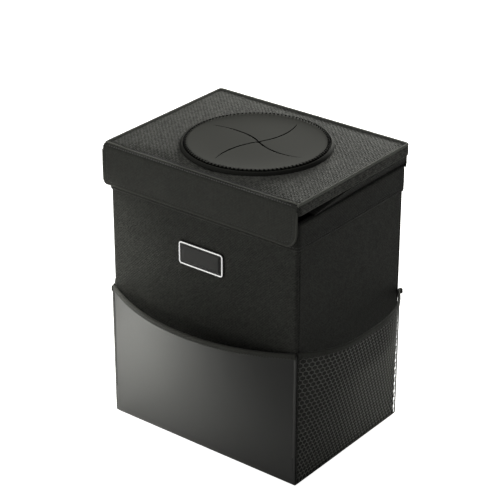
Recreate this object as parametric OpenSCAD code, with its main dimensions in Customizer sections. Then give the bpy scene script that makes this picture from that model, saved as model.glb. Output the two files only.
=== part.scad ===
// Car litter bin: a stiffened cloth box with a hinged lid, a slit rubber opening and three pockets.
// Origin: middle of the underside. X is the width, -Y the front, +Z up. Millimetres.

/* [Box] */
// Width of the box over its cloth walls
body_w = 210; // [170:5:240]
// Depth of the box over its cloth walls
body_d = 160; // [150:5:190]
// Height of the box to the top of its rim
body_h = 260; // [230:5:300]
// Radius of the upright corners of the box
corner_r = 3; // [2:0.5:4]
// Thickness of the outer cloth
cloth_t = 1; // [0.8:0.1:1.4]
// Thickness of the stiffening boards
board_t = 2; // [1:0.5:3]
// Thickness of the waterproof liner
liner_t = 0.6; // [0.4:0.1:1]

/* [Rim band] */
// Height of the padded band round the mouth
rim_h = 25; // [18:1:32]
// Thickness of the band outside the walls
rim_t = 1.6; // [1.2:0.1:2]
// Thickness of the band over the top of the walls
rim_web_t = 1.2; // [0.8:0.1:2]
// Depth of the band inside the mouth
rim_tuck = 14; // [8:1:20]
// Thickness of the band inside the mouth
rim_tuck_t = 0.8; // [0.6:0.1:1.2]

/* [Pockets] */
// Height of the pockets at their ends
pocket_h = 135.6; // [110:0.2:150]
// How far the top edge dips in the middle
pocket_dip = 2.2; // [0:0.2:6]
// How far the front pocket gapes at its top
front_bow = 28; // [20:1:34]
// How far the side pockets gape at their tops
side_bow = 23; // [16:1:30]
// Thickness of the pocket sheet
pocket_t = 1; // [0.8:0.1:1.2]
// Thickness of the folded hem where a pocket is sewn down
hem_t = 1.6; // [1.6:0.1:2]
// Width of that hem
hem_w = 3; // [2:0.5:4]
// Height of the binding tape
binding_h = 4.5; // [3:0.5:6]
// Thickness of the binding tape
binding_t = 0.5; // [0.3:0.1:0.5]
// Clearance between the tape and the sheet inside it
binding_gap = 0.1; // [0.05:0.05:0.1]
// Openings in one full row of the side nets
net_columns = 10; // [8:1:12]
// Rows of openings in the side nets
net_rows = 8; // [6:2:8]
// Width of the net's cords as a share of a mesh
net_cord = 0.24; // [0.16:0.02:0.36]

/* [Lid] */
// How far the lid stands out past the left and right walls
lid_over_x = 3.5; // [2.5:0.5:5]
// How far the lid stands out past the front and back walls
lid_over_y = 3; // [2.5:0.5:5]
// Thickness of the lid
lid_h = 11; // [9:0.5:14]
// Height of the soft gap between the rim and the lid
lid_gap = 9; // [8:0.5:12]
// Radius of the lid's corners
lid_r = 4; // [3:0.5:6]
// Thickness of the board under the lid's cloth
lid_board_t = 3; // [2:0.5:4]
// Thickness of the lining under the lid
lining_t = 0.8; // [0.6:0.1:1.2]
// Diameter of the piping on the lid's edge
piping_d = 2.4; // [1.6:0.1:3]

/* [Front flap] */
// How far each side of the flap stands in from the lid's side
flap_inset = 0.5; // [0:0.5:4]
// Length of the front flap
flap_l = 39; // [34:1:48]
// Radius of the flap's lower corners
flap_r = 15; // [10:1:20]
// Thickness of the flap
flap_t = 2.2; // [2:0.1:3]
// Thickness of the board in the flap
flap_board_t = 1; // [0.6:0.1:1.2]
// Width of the hook and loop strips
grip_w = 120; // [80:5:150]
// Height of the hook and loop strips
grip_h = 14; // [10:1:16]
// Distance of the strips above the flap's lower edge
grip_inset = 3; // [2:0.5:5]
// Thickness of each hook or loop strip
grip_t = 0.7; // [0.5:0.1:0.7]

/* [Opening disc] */
// Diameter of the disc's flange
disc_d = 138; // [124:1:142]
// Diameter of the disc over its toothed collar
collar_d = 132; // [120:1:134]
// Height of the disc above the lid
disc_rise = 4; // [3:0.5:6]
// Thickness of the flexible petals
petal_t = 1.6; // [1:0.2:2]
// How far the petals hang lower in the middle than at the collar
petal_sag = 1.3; // [0:0.1:2]
// Number of teeth round the collar
teeth = 108; // [60:4:120]
// Depth of the teeth
tooth_depth = 1.2; // [0.6:0.1:1.6]
// Depth of the groove that the teeth stand in
groove_h = 1.4; // [0.8:0.1:2]
// Bore inside the disc's neck
neck_bore_d = 116; // [108:1:117]
// Wall of the disc's neck
neck_t = 3; // [2:0.5:3]
// Length of each slit from the middle, as a chord
slit_l = 54; // [44:1:54]
// Radius of each curved slit
slit_r = 62; // [50:1:80]
// Width of the slits
slit_w = 0.8; // [0.6:0.1:1.2]
// Turn of the slits' ends from the box's own directions
slit_turn = -5; // [-45:1:45]
// Meeting point of the slits to the right of the disc's centre
slit_x = 1; // [-2:0.5:2]
// Meeting point of the slits behind the disc's centre
slit_y = 1; // [-2:0.5:2]
// Disc centre to the right of the lid's middle
disc_x = 2; // [-3:0.5:3]
// Disc centre behind the lid's middle
disc_y = -3; // [-5:0.5:5]
// Width of the clamp ring under the lid
clamp_w = 7; // [5:0.5:8]
// Thickness of the clamp ring
clamp_t = 2.5; // [2:0.1:3]

/* [Gussets] */
// Depth of the folded gusset at its front end
gusset_depth = 58; // [40:1:60]
// Distance of the gusset's front end from the front of the box
gusset_setback = 23; // [15:1:40]
// Depth of the fold left at the gusset's back end
gusset_back = 4; // [3:0.5:8]
// Thickness of the gusset cloth
gusset_t = 0.8; // [0.6:0.1:1]

/* [Label] */
// Width of the bare label plate
label_w = 51.5; // [40:0.5:60]
// Height of the label plate
label_h = 23.8; // [18:0.2:28]
// Radius of its corners
label_r = 4; // [2:0.5:6]
// Thickness of the label plate
label_t = 1.2; // [0.8:0.1:2]
// Width of the raised outline
outline_w = 1.2; // [0.8:0.1:1.8]
// Height of the raised outline
outline_t = 0.3; // [0.2:0.1:0.5]
// Outline's distance from the plate's edge
outline_inset = 1; // [0.5:0.1:2]
// Distance of the label's middle below the top of the rim
label_drop = 64; // [50:1:75]

/* [Hanging strap] */
// Width of the webbing
web_w = 25; // [20:1:25]
// Thickness of the webbing
web_t = 1.4; // [1:0.1:1.4]
// Distance of the strap's middle below the top of the rim
strap_drop = 55; // [52:1:90]
// Distance between the far ends of the strap
strap_span = 176; // [150:2:180]
// Length of the buckle's socket half
socket_l = 36; // [34:1:40]
// Length of the plug half's outer block
plug_l = 18; // [17:1:20]
// Width of both buckle halves
buckle_w = 34; // [32:1:38]
// Thickness of the buckle
buckle_t = 10; // [9:0.5:11]

/* [Hidden] */
$fn = 64;
// Clearance between pieces that don't touch
gap = 0.3;
// Overrun that lets a cut pass clean through a face
over = 1;

wall_t = cloth_t + board_t + liner_t;
wall_top = body_h - rim_web_t;
floor_z = cloth_t + board_t;
lid_w = body_w + 2 * lid_over_x;
lid_d = body_d + 2 * lid_over_y;
lid_z = body_h + lid_gap;
lid_top = lid_z + lid_h;
label_z = body_h - label_drop;
strap_z = body_h - strap_drop;

// Rounded rectangle of whole arcs and flats
module round_rect(w, d, r) {
    square([w - 2 * r, d], center = true);
    square([w, d - 2 * r], center = true);
    for (x = [-1, 1], y = [-1, 1])
        translate([x * (w / 2 - r), y * (d / 2 - r)]) circle(r);
}

// Upright block with rounded corners, set in by inset from the w by d outline
module block(w, d, r, inset, z0, z1) {
    translate([0, 0, z0])
        linear_extrude(z1 - z0)
            round_rect(w - 2 * inset, d - 2 * inset, max(r - inset, 0.4));
}

// Block outline of the box at an inset from its outer cloth
module box_block(inset, z0, z1) {
    block(body_w, body_d, corner_r, inset, z0, z1);
}

// Block outline of the lid at an inset from its outer cloth
module lid_block(inset, z0, z1) {
    block(lid_w, lid_d, lid_r, inset, z0, z1);
}

// One cloth wall, cut on the mitre at the corner seams: along is its length, across the other size
module cloth_wall(turn, along, across) {
    mitre = corner_r + cloth_t;
    intersection() {
        difference() {
            box_block(0, cloth_t, wall_top);
            box_block(cloth_t, cloth_t - over, wall_top + over);
        }
        rotate(turn)
            linear_extrude(body_h)
                polygon([
                    [-along / 2 - over, -across / 2 - over],
                    [along / 2 + over, -across / 2 - over],
                    [along / 2 - mitre, -across / 2 + mitre],
                    [-along / 2 + mitre, -across / 2 + mitre]
                ]);
    }
}

// One flat stiffening board behind a cloth wall
module wall_board(turn, along, across) {
    board_w = along - 2 * (cloth_t + corner_r);
    color("dimgray")
        rotate(turn)
            translate([-board_w / 2, -across / 2 + cloth_t, cloth_t])
                cube([board_w, board_t, wall_top - cloth_t]);
}

module bottom_panel() {
    color("#26272a") box_block(0, 0, cloth_t);
}

module bottom_board() {
    color("dimgray") box_block(cloth_t + board_t, cloth_t, floor_z);
}

module front_panel() {
    color("#2f3033") cloth_wall(0, body_w, body_d);
}

module back_panel() {
    color("#2f3033") cloth_wall(180, body_w, body_d);
}

module left_panel() {
    color("#28292b") cloth_wall(-90, body_d, body_w);
}

module right_panel() {
    color("#28292b") cloth_wall(90, body_d, body_w);
}

module front_board() {
    wall_board(0, body_w, body_d);
}

module back_board() {
    wall_board(180, body_w, body_d);
}

module left_board() {
    wall_board(-90, body_d, body_w);
}

module right_board() {
    wall_board(90, body_d, body_w);
}

// Open waterproof tray that lines the boards
module liner() {
    color("#1b1c1e")
        difference() {
            box_block(cloth_t + board_t, floor_z, wall_top);
            box_block(wall_t, floor_z + liner_t, wall_top + over);
        }
}

// Band folded over the tops of the walls: an outer leg, a web over the top and a short inner leg
module rim_band() {
    color("#1f2022")
        difference() {
            box_block(-rim_t, body_h - rim_h, body_h);
            box_block(wall_t + rim_tuck_t, body_h - rim_h - over, body_h + over);
            difference() {
                box_block(0, body_h - rim_h - over, wall_top);
                box_block(wall_t, body_h - rim_tuck, body_h);
            }
        }
}

// How far a pocket stands out at s along the wall: a curve that is flat at the hems and fullest midway
function bow_share(s, half, power) =
    abs(s) >= half - hem_w ? 0 : 1 - pow(abs(s) / (half - hem_w), power);

// Height of a pocket's top edge at s along the wall
function pocket_top(s, half) =
    pocket_h - pocket_dip * bow_share(s, half, 2);

// Outer face of a pocket: a straight line from the bottom seam to the bowed top edge
function pocket_face(s, z, base, half, bow, power) =
    base + hem_t + bow * bow_share(s, half, power) * (z - cloth_t) / (pocket_h - cloth_t);

// Thickness of a pocket: one sheet, doubled at the hems
function sheet_t(s, half) = abs(s) > half - hem_w ? hem_t : pocket_t;

// Places between a pocket's hems, closer together towards the hems
function free_places(half) =
    [for (i = [0:sheet_steps]) -(half - hem_w) * cos(180 * i / sheet_steps)];

// Distance of the net's outermost meshes from its ends, and the width of half a mesh
net_edge = hem_w + 2;
function net_pitch(half) = (half - net_edge) / net_columns;

// Places of the net's mesh corners along a wall
function net_places(half) =
    [for (k = [0:2 * net_columns]) -half + net_edge + k * net_pitch(half)];

// Solid swept through rings of points. A ring goes out along one face of the sheet and comes back
// along the other, so its two halves face each other and close the ends in strips
module swept(rings) {
    n = len(rings[0]);
    last = (len(rings) - 1) * n;
    polyhedron(
        points = [for (ring = rings) each ring],
        faces = concat(
            [for (i = [0:n / 2 - 2]) each [[i, i + 1, n - 2 - i], [i, n - 2 - i, n - 1 - i]]],
            [for (j = [0:n:last - n], i = [0:n - 1])
                let (a = j + i, b = j + (i + 1) % n)
                each [[a, a + n, b + n], [a, b + n, b]]],
            [for (i = [0:n / 2 - 2])
                each [
                    [last + i, last + n - 2 - i, last + i + 1],
                    [last + i, last + n - 1 - i, last + n - 2 - i]
                ]]
        ),
        convexity = 6
    );
}

// Plain bowed pocket sheet on a wall that faces -Y at distance base
module plain_sheet(base, half, bow, power, rows) {
    step = 0.01;
    places = concat(
        [-half, -half + hem_w - step], free_places(half), [half - hem_w + step, half]
    );
    swept([
        for (s = places)
            let (
                top = pocket_top(s, half),
                heights = [for (k = [0:rows]) cloth_t + (top - cloth_t) * k / rows],
                t = sheet_t(s, half)
            )
            concat(
                [for (z = heights) [s, -pocket_face(s, z, base, half, bow, power), z]],
                [for (k = [rows:-1:0])
                    [s, t - pocket_face(s, heights[k], base, half, bow, power), heights[k]]]
            )
    ]);
}

// Binding tape folded over a pocket's top edge, through the given places along the wall
module binding(base, half, bow, power, places) {
    leg_out = binding_gap + binding_t;
    leg_in = pocket_t + binding_gap;
    swept([
        for (s = places)
            let (
                top = pocket_top(s, half),
                low = top - binding_h,
                out_top = -pocket_face(s, top, base, half, bow, power),
                out_low = -pocket_face(s, low, base, half, bow, power)
            )
            [
                [s, out_low - leg_out, low],
                [s, out_top - leg_out, top + leg_out],
                [s, out_top + leg_in + binding_t, top + leg_out],
                [s, out_low + leg_in + binding_t, low],
                [s, out_low + leg_in, low],
                [s, out_top + leg_in, top + binding_gap],
                [s, out_top - binding_gap, top + binding_gap],
                [s, out_low - binding_gap, low]
            ]
    ]);
}

// Net sheet: a bowed pocket pierced by staggered six-sided meshes, each cut in a cell of the sheet
module net_sheet(base, half, bow, power) {
    columns = 2 * net_columns;
    low_z = cloth_t + net_edge;
    high_z = pocket_h - pocket_dip - binding_h - 3;
    pitch = net_pitch(half);
    row_h = (high_z - low_z) / net_rows;
    point = row_h / 6;

    // Grid of cell corners: row and column -1 and the last ones lie on the sheet's own edges
    function grid_s(k) = k < 0 ? -half : k > columns ? half : -half + net_edge + k * pitch;
    function grid_z(j, k) =
        j < 0 ? cloth_t
        : j > net_rows ? pocket_top(grid_s(k), half)
        : low_z + j * row_h + (k < 0 || k > columns ? 0 : ((j + k) % 2 == 0 ? point : -point));
    function place(s, z, back) =
        [s, -pocket_face(s, z, base, half, bow, power) + back * (abs(s) >= half ? hem_t : pocket_t), z];
    function corner(j, k) = (j + 1) * (columns + 3) + k + 1;

    cells = [
        for (j = [0:net_rows - 1], i = [0:net_columns - 1 - j % 2])
            [j, 2 * i + j % 2]
    ];
    flat = [
        for (j = [-1:net_rows + 1], k = [-1:columns + 1])
            [grid_s(k), grid_z(j, k)]
    ];
    // The six corners of a cell in turn, seen from outside: low middle first, then to the right
    function ring_of(c) = [
        [c[0], c[1] + 1], [c[0], c[1] + 2], [c[0] + 1, c[1] + 2],
        [c[0] + 1, c[1] + 1], [c[0] + 1, c[1]], [c[0], c[1]]
    ];
    holes = [
        for (c = cells)
            let (
                ring = [for (p = ring_of(c)) [grid_s(p[1]), grid_z(p[0], p[1])]],
                mid = [(ring[1][0] + ring[5][0]) / 2, (ring[0][1] + ring[3][1]) / 2]
            )
            each [for (p = ring) mid + (p - mid) * (1 - net_cord)]
    ];
    all_flat = concat(flat, holes);
    count = len(all_flat);
    first_hole = len(flat);
    points = concat(
        [for (p = all_flat) place(p[0], p[1], 0)],
        [for (p = all_flat) place(p[0], p[1], 1)]
    );
    // Cells of the grid that stay closed: the border, and the half meshes at the ends of odd rows
    closed = [
        for (j = [-1:net_rows], k = [-1:columns])
            if (j < 0 || j == net_rows || k < 0 || k == columns
                || (j % 2 == 1 && (k == 0 || k == columns - 1)))
                [j, k]
    ];
    outer_faces = concat(
        [for (q = closed)
            let (
                a = corner(q[0], q[1]), b = corner(q[0], q[1] + 1),
                c = corner(q[0] + 1, q[1] + 1), d = corner(q[0] + 1, q[1])
            )
            each [[a, c, b], [a, d, c]]],
        [for (n = [0:len(cells) - 1])
            let (ring = [for (p = ring_of(cells[n])) corner(p[0], p[1])])
            for (i = [0:5])
                let (
                    a = ring[i], b = ring[(i + 1) % 6],
                    ha = first_hole + 6 * n + i, hb = first_hole + 6 * n + (i + 1) % 6
                )
                each [[a, hb, b], [a, ha, hb]]]
    );
    inner_faces = [for (f = outer_faces) [f[0] + count, f[2] + count, f[1] + count]];
    mesh_walls = [
        for (n = [0:len(cells) - 1], i = [0:5])
            let (a = first_hole + 6 * n + i, b = first_hole + 6 * n + (i + 1) % 6)
            each [[a, b + count, b], [a, a + count, b + count]]
    ];
    rim = concat(
        [for (k = [-1:columns + 1]) corner(-1, k)],
        [for (j = [0:net_rows + 1]) corner(j, columns + 1)],
        [for (k = [columns:-1:-1]) corner(net_rows + 1, k)],
        [for (j = [net_rows:-1:0]) corner(j, -1)]
    );
    rim_walls = [
        for (i = [0:len(rim) - 1])
            let (a = rim[i], b = rim[(i + 1) % len(rim)])
            each [[a, b, b + count], [a, b + count, a + count]]
    ];
    polyhedron(points = points, faces = concat(outer_faces, inner_faces, mesh_walls, rim_walls),
        convexity = 10);
}

front_half = body_w / 2 + hem_t;
side_half = body_d / 2;
front_power = 2.1;
side_power = 3;
sheet_steps = 24;

module front_pocket() {
    color("#4a4b4e") plain_sheet(body_d / 2, front_half, front_bow, front_power, 4);
}

module front_pocket_binding() {
    color("#3a3b3d")
        binding(body_d / 2, front_half, front_bow, front_power, free_places(front_half));
}

module left_net_pocket() {
    color("#333436") rotate(-90) net_sheet(body_w / 2, side_half, side_bow, side_power);
}

module right_net_pocket() {
    color("#333436") rotate(90) net_sheet(body_w / 2, side_half, side_bow, side_power);
}

module side_binding(turn) {
    color("#3a3b3d")
        rotate(turn) binding(body_w / 2, side_half, side_bow, side_power, net_places(side_half));
}

module left_pocket_binding() {
    side_binding(-90);
}

module right_pocket_binding() {
    side_binding(90);
}

// Lay a drawing in the XY plane upright on the front of the box, growing outwards from y
module on_front(y) {
    translate([0, y, 0]) rotate([90, 0, 0]) children();
}

module label_plate() {
    color("#141415")
        on_front(-body_d / 2)
            translate([0, label_z, 0]) linear_extrude(label_t) round_rect(label_w, label_h, label_r);
}

module label_outline() {
    out_r = label_r - outline_inset;
    out_w = label_w - 2 * outline_inset;
    out_h = label_h - 2 * outline_inset;
    color("white")
        on_front(-body_d / 2 - label_t)
            translate([0, label_z, 0])
                linear_extrude(outline_t)
                    difference() {
                        round_rect(out_w, out_h, out_r);
                        round_rect(out_w - 2 * outline_w, out_h - 2 * outline_w, out_r - outline_w);
                    }
}

// Middle of the hook and loop strips
grip_z = lid_top - flap_l + grip_inset + grip_h / 2;

module rim_loop_strip() {
    color("#232426")
        on_front(-body_d / 2 - rim_t)
            translate([0, grip_z, 0]) linear_extrude(grip_t) square([grip_w, grip_h], center = true);
}

neck_r = neck_bore_d / 2 + neck_t;

// Round hole for the disc's neck through the layers of the lid
module disc_hole() {
    translate([disc_x, disc_y, lid_z - over]) cylinder(h = lid_h + 2 * over, r = neck_r + gap);
}

// Top cloth of the lid with its four skirts
module lid_cover() {
    color("#4e4e4c")
        difference() {
            lid_block(0, lid_z, lid_top);
            lid_block(cloth_t, lid_z - over, lid_top - cloth_t);
            disc_hole();
        }
}

// One flat layer inside the lid
module lid_layer(z0, z1) {
    difference() {
        lid_block(cloth_t + gap, z0, z1);
        disc_hole();
    }
}

module lid_board() {
    color("dimgray") lid_layer(lid_top - cloth_t - lid_board_t, lid_top - cloth_t);
}

module lid_foam() {
    color("gray") lid_layer(lid_z + lining_t, lid_top - cloth_t - lid_board_t);
}

module lid_lining() {
    color("#202123") lid_layer(lid_z, lid_z + lining_t);
}

// Half-round piping on the left, back and right edges of the lid
module lid_piping() {
    piping_r = piping_d / 2;
    bend_r = lid_r;
    run_y = lid_d / 2 - bend_r;
    run_x = lid_w / 2 - bend_r;
    front_stop = 3;
    module bead() {
        translate([bend_r - piping_r, 0])
            intersection() {
                circle(piping_r);
                translate([-piping_r, 0]) square([2 * piping_r, piping_r]);
            }
    }
    color("#6a6a67")
        translate([0, 0, lid_top])
            union() {
                for (x = [-1, 1]) {
                    translate([x * run_x, run_y, 0])
                        rotate([90, 0, 0])
                            linear_extrude(run_y + lid_d / 2 - front_stop)
                                if (x > 0) bead(); else mirror([1, 0]) bead();
                    translate([x * run_x, run_y, 0])
                        rotate(x > 0 ? 0 : 90)
                            rotate_extrude(angle = 90) bead();
                }
                translate([-run_x, run_y, 0])
                    rotate([90, 0, 90])
                        linear_extrude(2 * run_x) bead();
            }
}

collar_r = collar_d / 2 - tooth_depth;
disc_top = lid_top + disc_rise;
// Rounded bead outside the groove: its play round the teeth, its crest and its outer edge
bead_play = 0.2;
bead_drop = 0.3;
bead_crest_w = 0.8;
flange_t = 0.8;
// Bevel on the collar's top edge
collar_bevel = 0.3;
// Lip at the neck's foot that holds the clamp ring: its height, how far it stands out, its play
lip_h = 1.2;
lip_w = 1.2;
lip_play = 0.1;
clamp_z = lid_z - clamp_t;
lip_top = clamp_z - lip_play;
// Facets of the disc's large round faces
round_steps = 180;

// Height of the petals' top at a distance from the centre: a shallow dish inside the neck's bore
function petal_z(r) = disc_top - petal_sag * (1 - pow(r * 2 / neck_bore_d, 2));

// Turned profile of the disc: dished petals, collar, groove, bead, neck and the lip that holds the
// clamp ring
module disc_profile() {
    bore_r = neck_bore_d / 2;
    dish_steps = 5;
    dish = [for (i = [0:dish_steps]) bore_r * i / dish_steps];
    bead_r = collar_d / 2 + bead_play;
    polygon(concat(
        [for (r = dish) [r, petal_z(r) - petal_t]],
        [
            [bore_r, lip_top - lip_h], [neck_r, lip_top - lip_h],
            [neck_r + lip_w, lip_top - lip_h / 2], [neck_r + lip_w, lip_top],
            [neck_r, lip_top], [neck_r, lid_top],
            [disc_d / 2, lid_top], [disc_d / 2, lid_top + flange_t],
            [bead_r + 2 * bead_crest_w, disc_top - 3 * bead_drop],
            [bead_r + bead_crest_w, disc_top - bead_drop], [bead_r, disc_top - bead_drop],
            [bead_r, disc_top - groove_h], [collar_r, disc_top - groove_h],
            [collar_r, disc_top - collar_bevel], [collar_r - collar_bevel, disc_top]
        ],
        [for (i = [dish_steps:-1:0]) [dish[i], petal_z(dish[i])]]
    ));
}

// One curved slit: part of a ring that starts at the middle, bows to the right of its chord and
// ends straight ahead along X
module slit() {
    lean = asin(slit_l / 2 / slit_r);
    reach = 2 * slit_r;
    rotate(-90 - lean)
        translate([-slit_r, 0])
            intersection() {
                difference() {
                    circle(slit_r + slit_w / 2, $fn = round_steps);
                    circle(slit_r - slit_w / 2, $fn = round_steps);
                }
                polygon([
                    [0, 0], [reach, -slit_w / 2],
                    [reach * cos(lean), reach * sin(lean)],
                    [reach * cos(2 * lean), reach * sin(2 * lean)]
                ]);
            }
}

// Ring of rounded teeth round the collar, a little proud of it even in the valleys
module tooth_ring() {
    tooth_points = 4;
    proud = 0.1;
    polygon([
        for (i = [0:teeth * tooth_points - 1])
            let (
                a = 360 * i / (teeth * tooth_points),
                crest = pow(cos(180 * i / tooth_points), 2)
            )
            (collar_r + proud + (tooth_depth - proud) * crest) * [cos(a), sin(a)]
    ]);
}

module opening_disc() {
    tooth_sink = 0.2;
    color("#444442")
        translate([disc_x, disc_y, 0])
            difference() {
                union() {
                    rotate_extrude($fn = round_steps) disc_profile();
                    translate([0, 0, disc_top - groove_h - tooth_sink])
                        linear_extrude(groove_h - collar_bevel + tooth_sink)
                            difference() {
                                tooth_ring();
                                circle(collar_r - 2, $fn = round_steps);
                            }
                }
                for (turn = [0:90:270])
                    translate([slit_x, slit_y, 0])
                        rotate([0, 0, turn + slit_turn])
                            translate([0, 0, disc_top - petal_sag - petal_t - over])
                                linear_extrude(petal_sag + petal_t + 2 * over) slit();
            }
}

module clamp_ring() {
    color("#2a2a2a")
        translate([disc_x, disc_y, clamp_z])
            difference() {
                cylinder(h = clamp_t, r = neck_r + clamp_w);
                translate([0, 0, -over]) cylinder(h = clamp_t + 2 * over, r = neck_r + gap);
            }
}

flap_y = -lid_d / 2 - gap;
// Cloth on each face of the flap's board, and the width of the cloth turned in round it
flap_skin = (flap_t - flap_board_t) / 2;
flap_hem = 1.5;

// Outline of the front flap at an inset: square at its hinge edge, rounded below
module flap_outline(inset) {
    r = flap_r - inset;
    half = lid_w / 2 - flap_inset - inset;
    low = lid_top - flap_l + inset;
    high = lid_top - inset;
    translate([-half, low + r]) square([2 * half, high - low - r]);
    translate([-half + r, low]) square([2 * half - 2 * r, r + 0.01]);
    for (x = [-1, 1]) translate([x * (half - r), low + r]) circle(r);
}

module flap_cover() {
    color("#343537")
        difference() {
            on_front(flap_y) linear_extrude(flap_t) flap_outline(0);
            on_front(flap_y - flap_skin) linear_extrude(flap_board_t) flap_outline(flap_hem);
        }
}

module flap_board() {
    color("dimgray")
        on_front(flap_y - flap_skin) linear_extrude(flap_board_t) flap_outline(flap_hem + gap);
}

module flap_hook_strip() {
    color("#151515")
        on_front(flap_y + grip_t)
            translate([0, grip_z, 0]) linear_extrude(grip_t) square([grip_w, grip_h], center = true);
}

// Cloth strip that joins the back of the rim to the back of the lid, set in from the lid's corners
module lid_hinge_strip() {
    strip_w = lid_w - 2 * lid_r - 2;
    low_y = body_d / 2;
    high_y = body_d / 2 + rim_t;
    color("#28292b")
        translate([-strip_w / 2, 0, 0])
            rotate([90, 0, 90])
                linear_extrude(strip_w)
                    polygon([
                        [low_y, body_h], [low_y + cloth_t, body_h],
                        [high_y + cloth_t, lid_z - gap], [high_y, lid_z - gap]
                    ]);
}

// Gusset cloth folded inwards like a V lying on its side, deepest at its front end
module right_gusset() {
    edge_x = body_w / 2 + rim_t - cloth_t;
    back_y = body_d / 2 - cloth_t / 2;
    front_y = -body_d / 2 + gusset_setback;
    low = body_h + gap;
    high = lid_z - gap;
    mid = (low + high) / 2;
    color("#28292b")
        swept([
            for (station = [[front_y, gusset_depth + gusset_back], [back_y, gusset_back]])
                let (y = station[0], w = station[1])
                [
                    [edge_x, y, low + gusset_t], [edge_x - w + 2 * gusset_t, y, mid],
                    [edge_x, y, high - gusset_t], [edge_x, y, high],
                    [edge_x - w, y, mid], [edge_x, y, low]
                ]
        ]);
}

module left_gusset() {
    mirror([1, 0, 0]) right_gusset();
}

// Outline of a strip of even thickness along a path of points
function strip_outline(path, t) =
    let (
        n = len(path),
        side = [
            for (i = [0:n - 1])
                let (
                    a = path[max(i - 1, 0)], b = path[i], c = path[min(i + 1, n - 1)],
                    u = i > 0 ? (b - a) / norm(b - a) : (c - b) / norm(c - b),
                    v = i < n - 1 ? (c - b) / norm(c - b) : u,
                    m = (u + v) / norm(u + v),
                    reach = t / 2 / (m * u)
                )
                reach * [-m[1], m[0]]
        ]
    )
    concat(
        [for (i = [0:n - 1]) path[i] + side[i]],
        [for (i = [n - 1:-1:0]) path[i] - side[i]]
    );

// Place the strap's own frame on the back: length along X, thickness outwards, width upright
module on_back() {
    translate([0, body_d / 2, strap_z]) rotate([90, 0, 180]) children();
}

// Strip of webbing along a path in the strap's length and thickness
module webbing(path) {
    translate([0, web_w / 2, 0])
        rotate([90, 0, 0])
            linear_extrude(web_w) polygon(strip_outline(path, web_t));
}

// Heights in the strap's own frame: bars of the buckle and the plies of webbing beside them
ply_gap = 0.1;
bar_t = 0.34 * buckle_t;
bar_low = web_t * 2.5;
bar_high = bar_low + bar_t;
ply = web_t / 2 + ply_gap;
second_ply = ply + web_t + ply_gap;
// Rounding of the webbing where it turns round a bar
bend = 0.7 * web_t;
// Slots for the webbing: in the socket near its outer end, and two in the plug's block
slot_len = web_w + 2 * gap;
socket_slot_w = 3 * web_t;
socket_slot_x = socket_l - 2 * socket_slot_w + ply_gap;
plug_slot_w = 3;
inner_slot_x = -0.42 * plug_l;
outer_slot_x = plug_slot_w - plug_l;

// Webbing of the socket half: sewn to the back at its far end, looped round the fixed bar, sewn down
module left_strap() {
    loop_x = socket_slot_x + socket_slot_w / 2 + ply_gap;
    back_x = socket_l + gap + web_t;
    lap_end = socket_l + web_w;
    color("#232426")
        on_back()
            webbing([
                [strap_span / 2, ply], [back_x + 4 * bend, ply],
                [loop_x + bend, bar_low - ply], [loop_x, bar_low], [loop_x, bar_high],
                [loop_x + bend, bar_high + ply], [back_x - bend, bar_high + ply],
                [back_x, bar_high], [back_x + 5 * bend, second_ply + bend / 2],
                [back_x + 7 * bend, second_ply], [lap_end, second_ply]
            ]);
}

// Webbing of the plug half: up through the inner slot, over the bar, down and out as a free tail
module right_strap() {
    inner_x = inner_slot_x + plug_slot_w / 2;
    outer_x = outer_slot_x + plug_slot_w / 2;
    tail_l = 1.8 * web_w;
    color("#232426")
        on_back()
            webbing([
                [-strap_span / 2, ply], [inner_x - 1.5 * bend, ply], [inner_x, ply + 1.5 * bend],
                [inner_x, bar_high], [inner_x - bend, bar_high + ply],
                [outer_x + bend, bar_high + ply],
                [outer_x, bar_high], [outer_x, bar_low], [outer_x - 1.2 * bend, bar_low - ply],
                [outer_x - tail_l, bar_low - ply - ply_gap]
            ]);
}

// Plate with rounded corners from x0 to x1 in the strap's own frame
module buckle_plate(x0, x1, w, r, z0, z1) {
    translate([(x0 + x1) / 2, 0, z0]) linear_extrude(z1 - z0) round_rect(x1 - x0, w, r);
}

// Walls of the socket, its inside width, and the span of its side windows
socket_wall = 4;
socket_skin = 2;
socket_in = buckle_w - 2 * socket_wall;
window_x = [socket_l / 3, 0.61 * socket_l];
buckle_low = 0.4;
buckle_r = 3;

module buckle_socket() {
    cavity_h = buckle_t - buckle_low - 2 * socket_skin;
    bar_x = socket_slot_x + 0.7 * socket_slot_w;
    color("#1a1a1b")
        on_back()
            difference() {
                buckle_plate(0, socket_l, buckle_w, buckle_r, buckle_low, buckle_t);
                translate([-over, -socket_in / 2, buckle_low + socket_skin])
                    cube([window_x[1] + socket_skin + over, socket_in, cavity_h]);
                for (y = [-1, 1])
                    translate([window_x[0], y * (buckle_w - socket_wall) / 2, buckle_low + socket_skin])
                        translate([0, -socket_wall * 0.75, 0])
                            cube([window_x[1] - window_x[0], socket_wall * 1.5, cavity_h]);
                translate([socket_slot_x, -slot_len / 2, -over])
                    cube([socket_slot_w, slot_len, buckle_t + 2 * over]);
                translate([bar_x, -slot_len / 2, -over])
                    cube([socket_l, slot_len, bar_low + over]);
                translate([bar_x, -slot_len / 2, bar_high])
                    cube([socket_l, slot_len, buckle_t]);
            }
}

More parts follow.
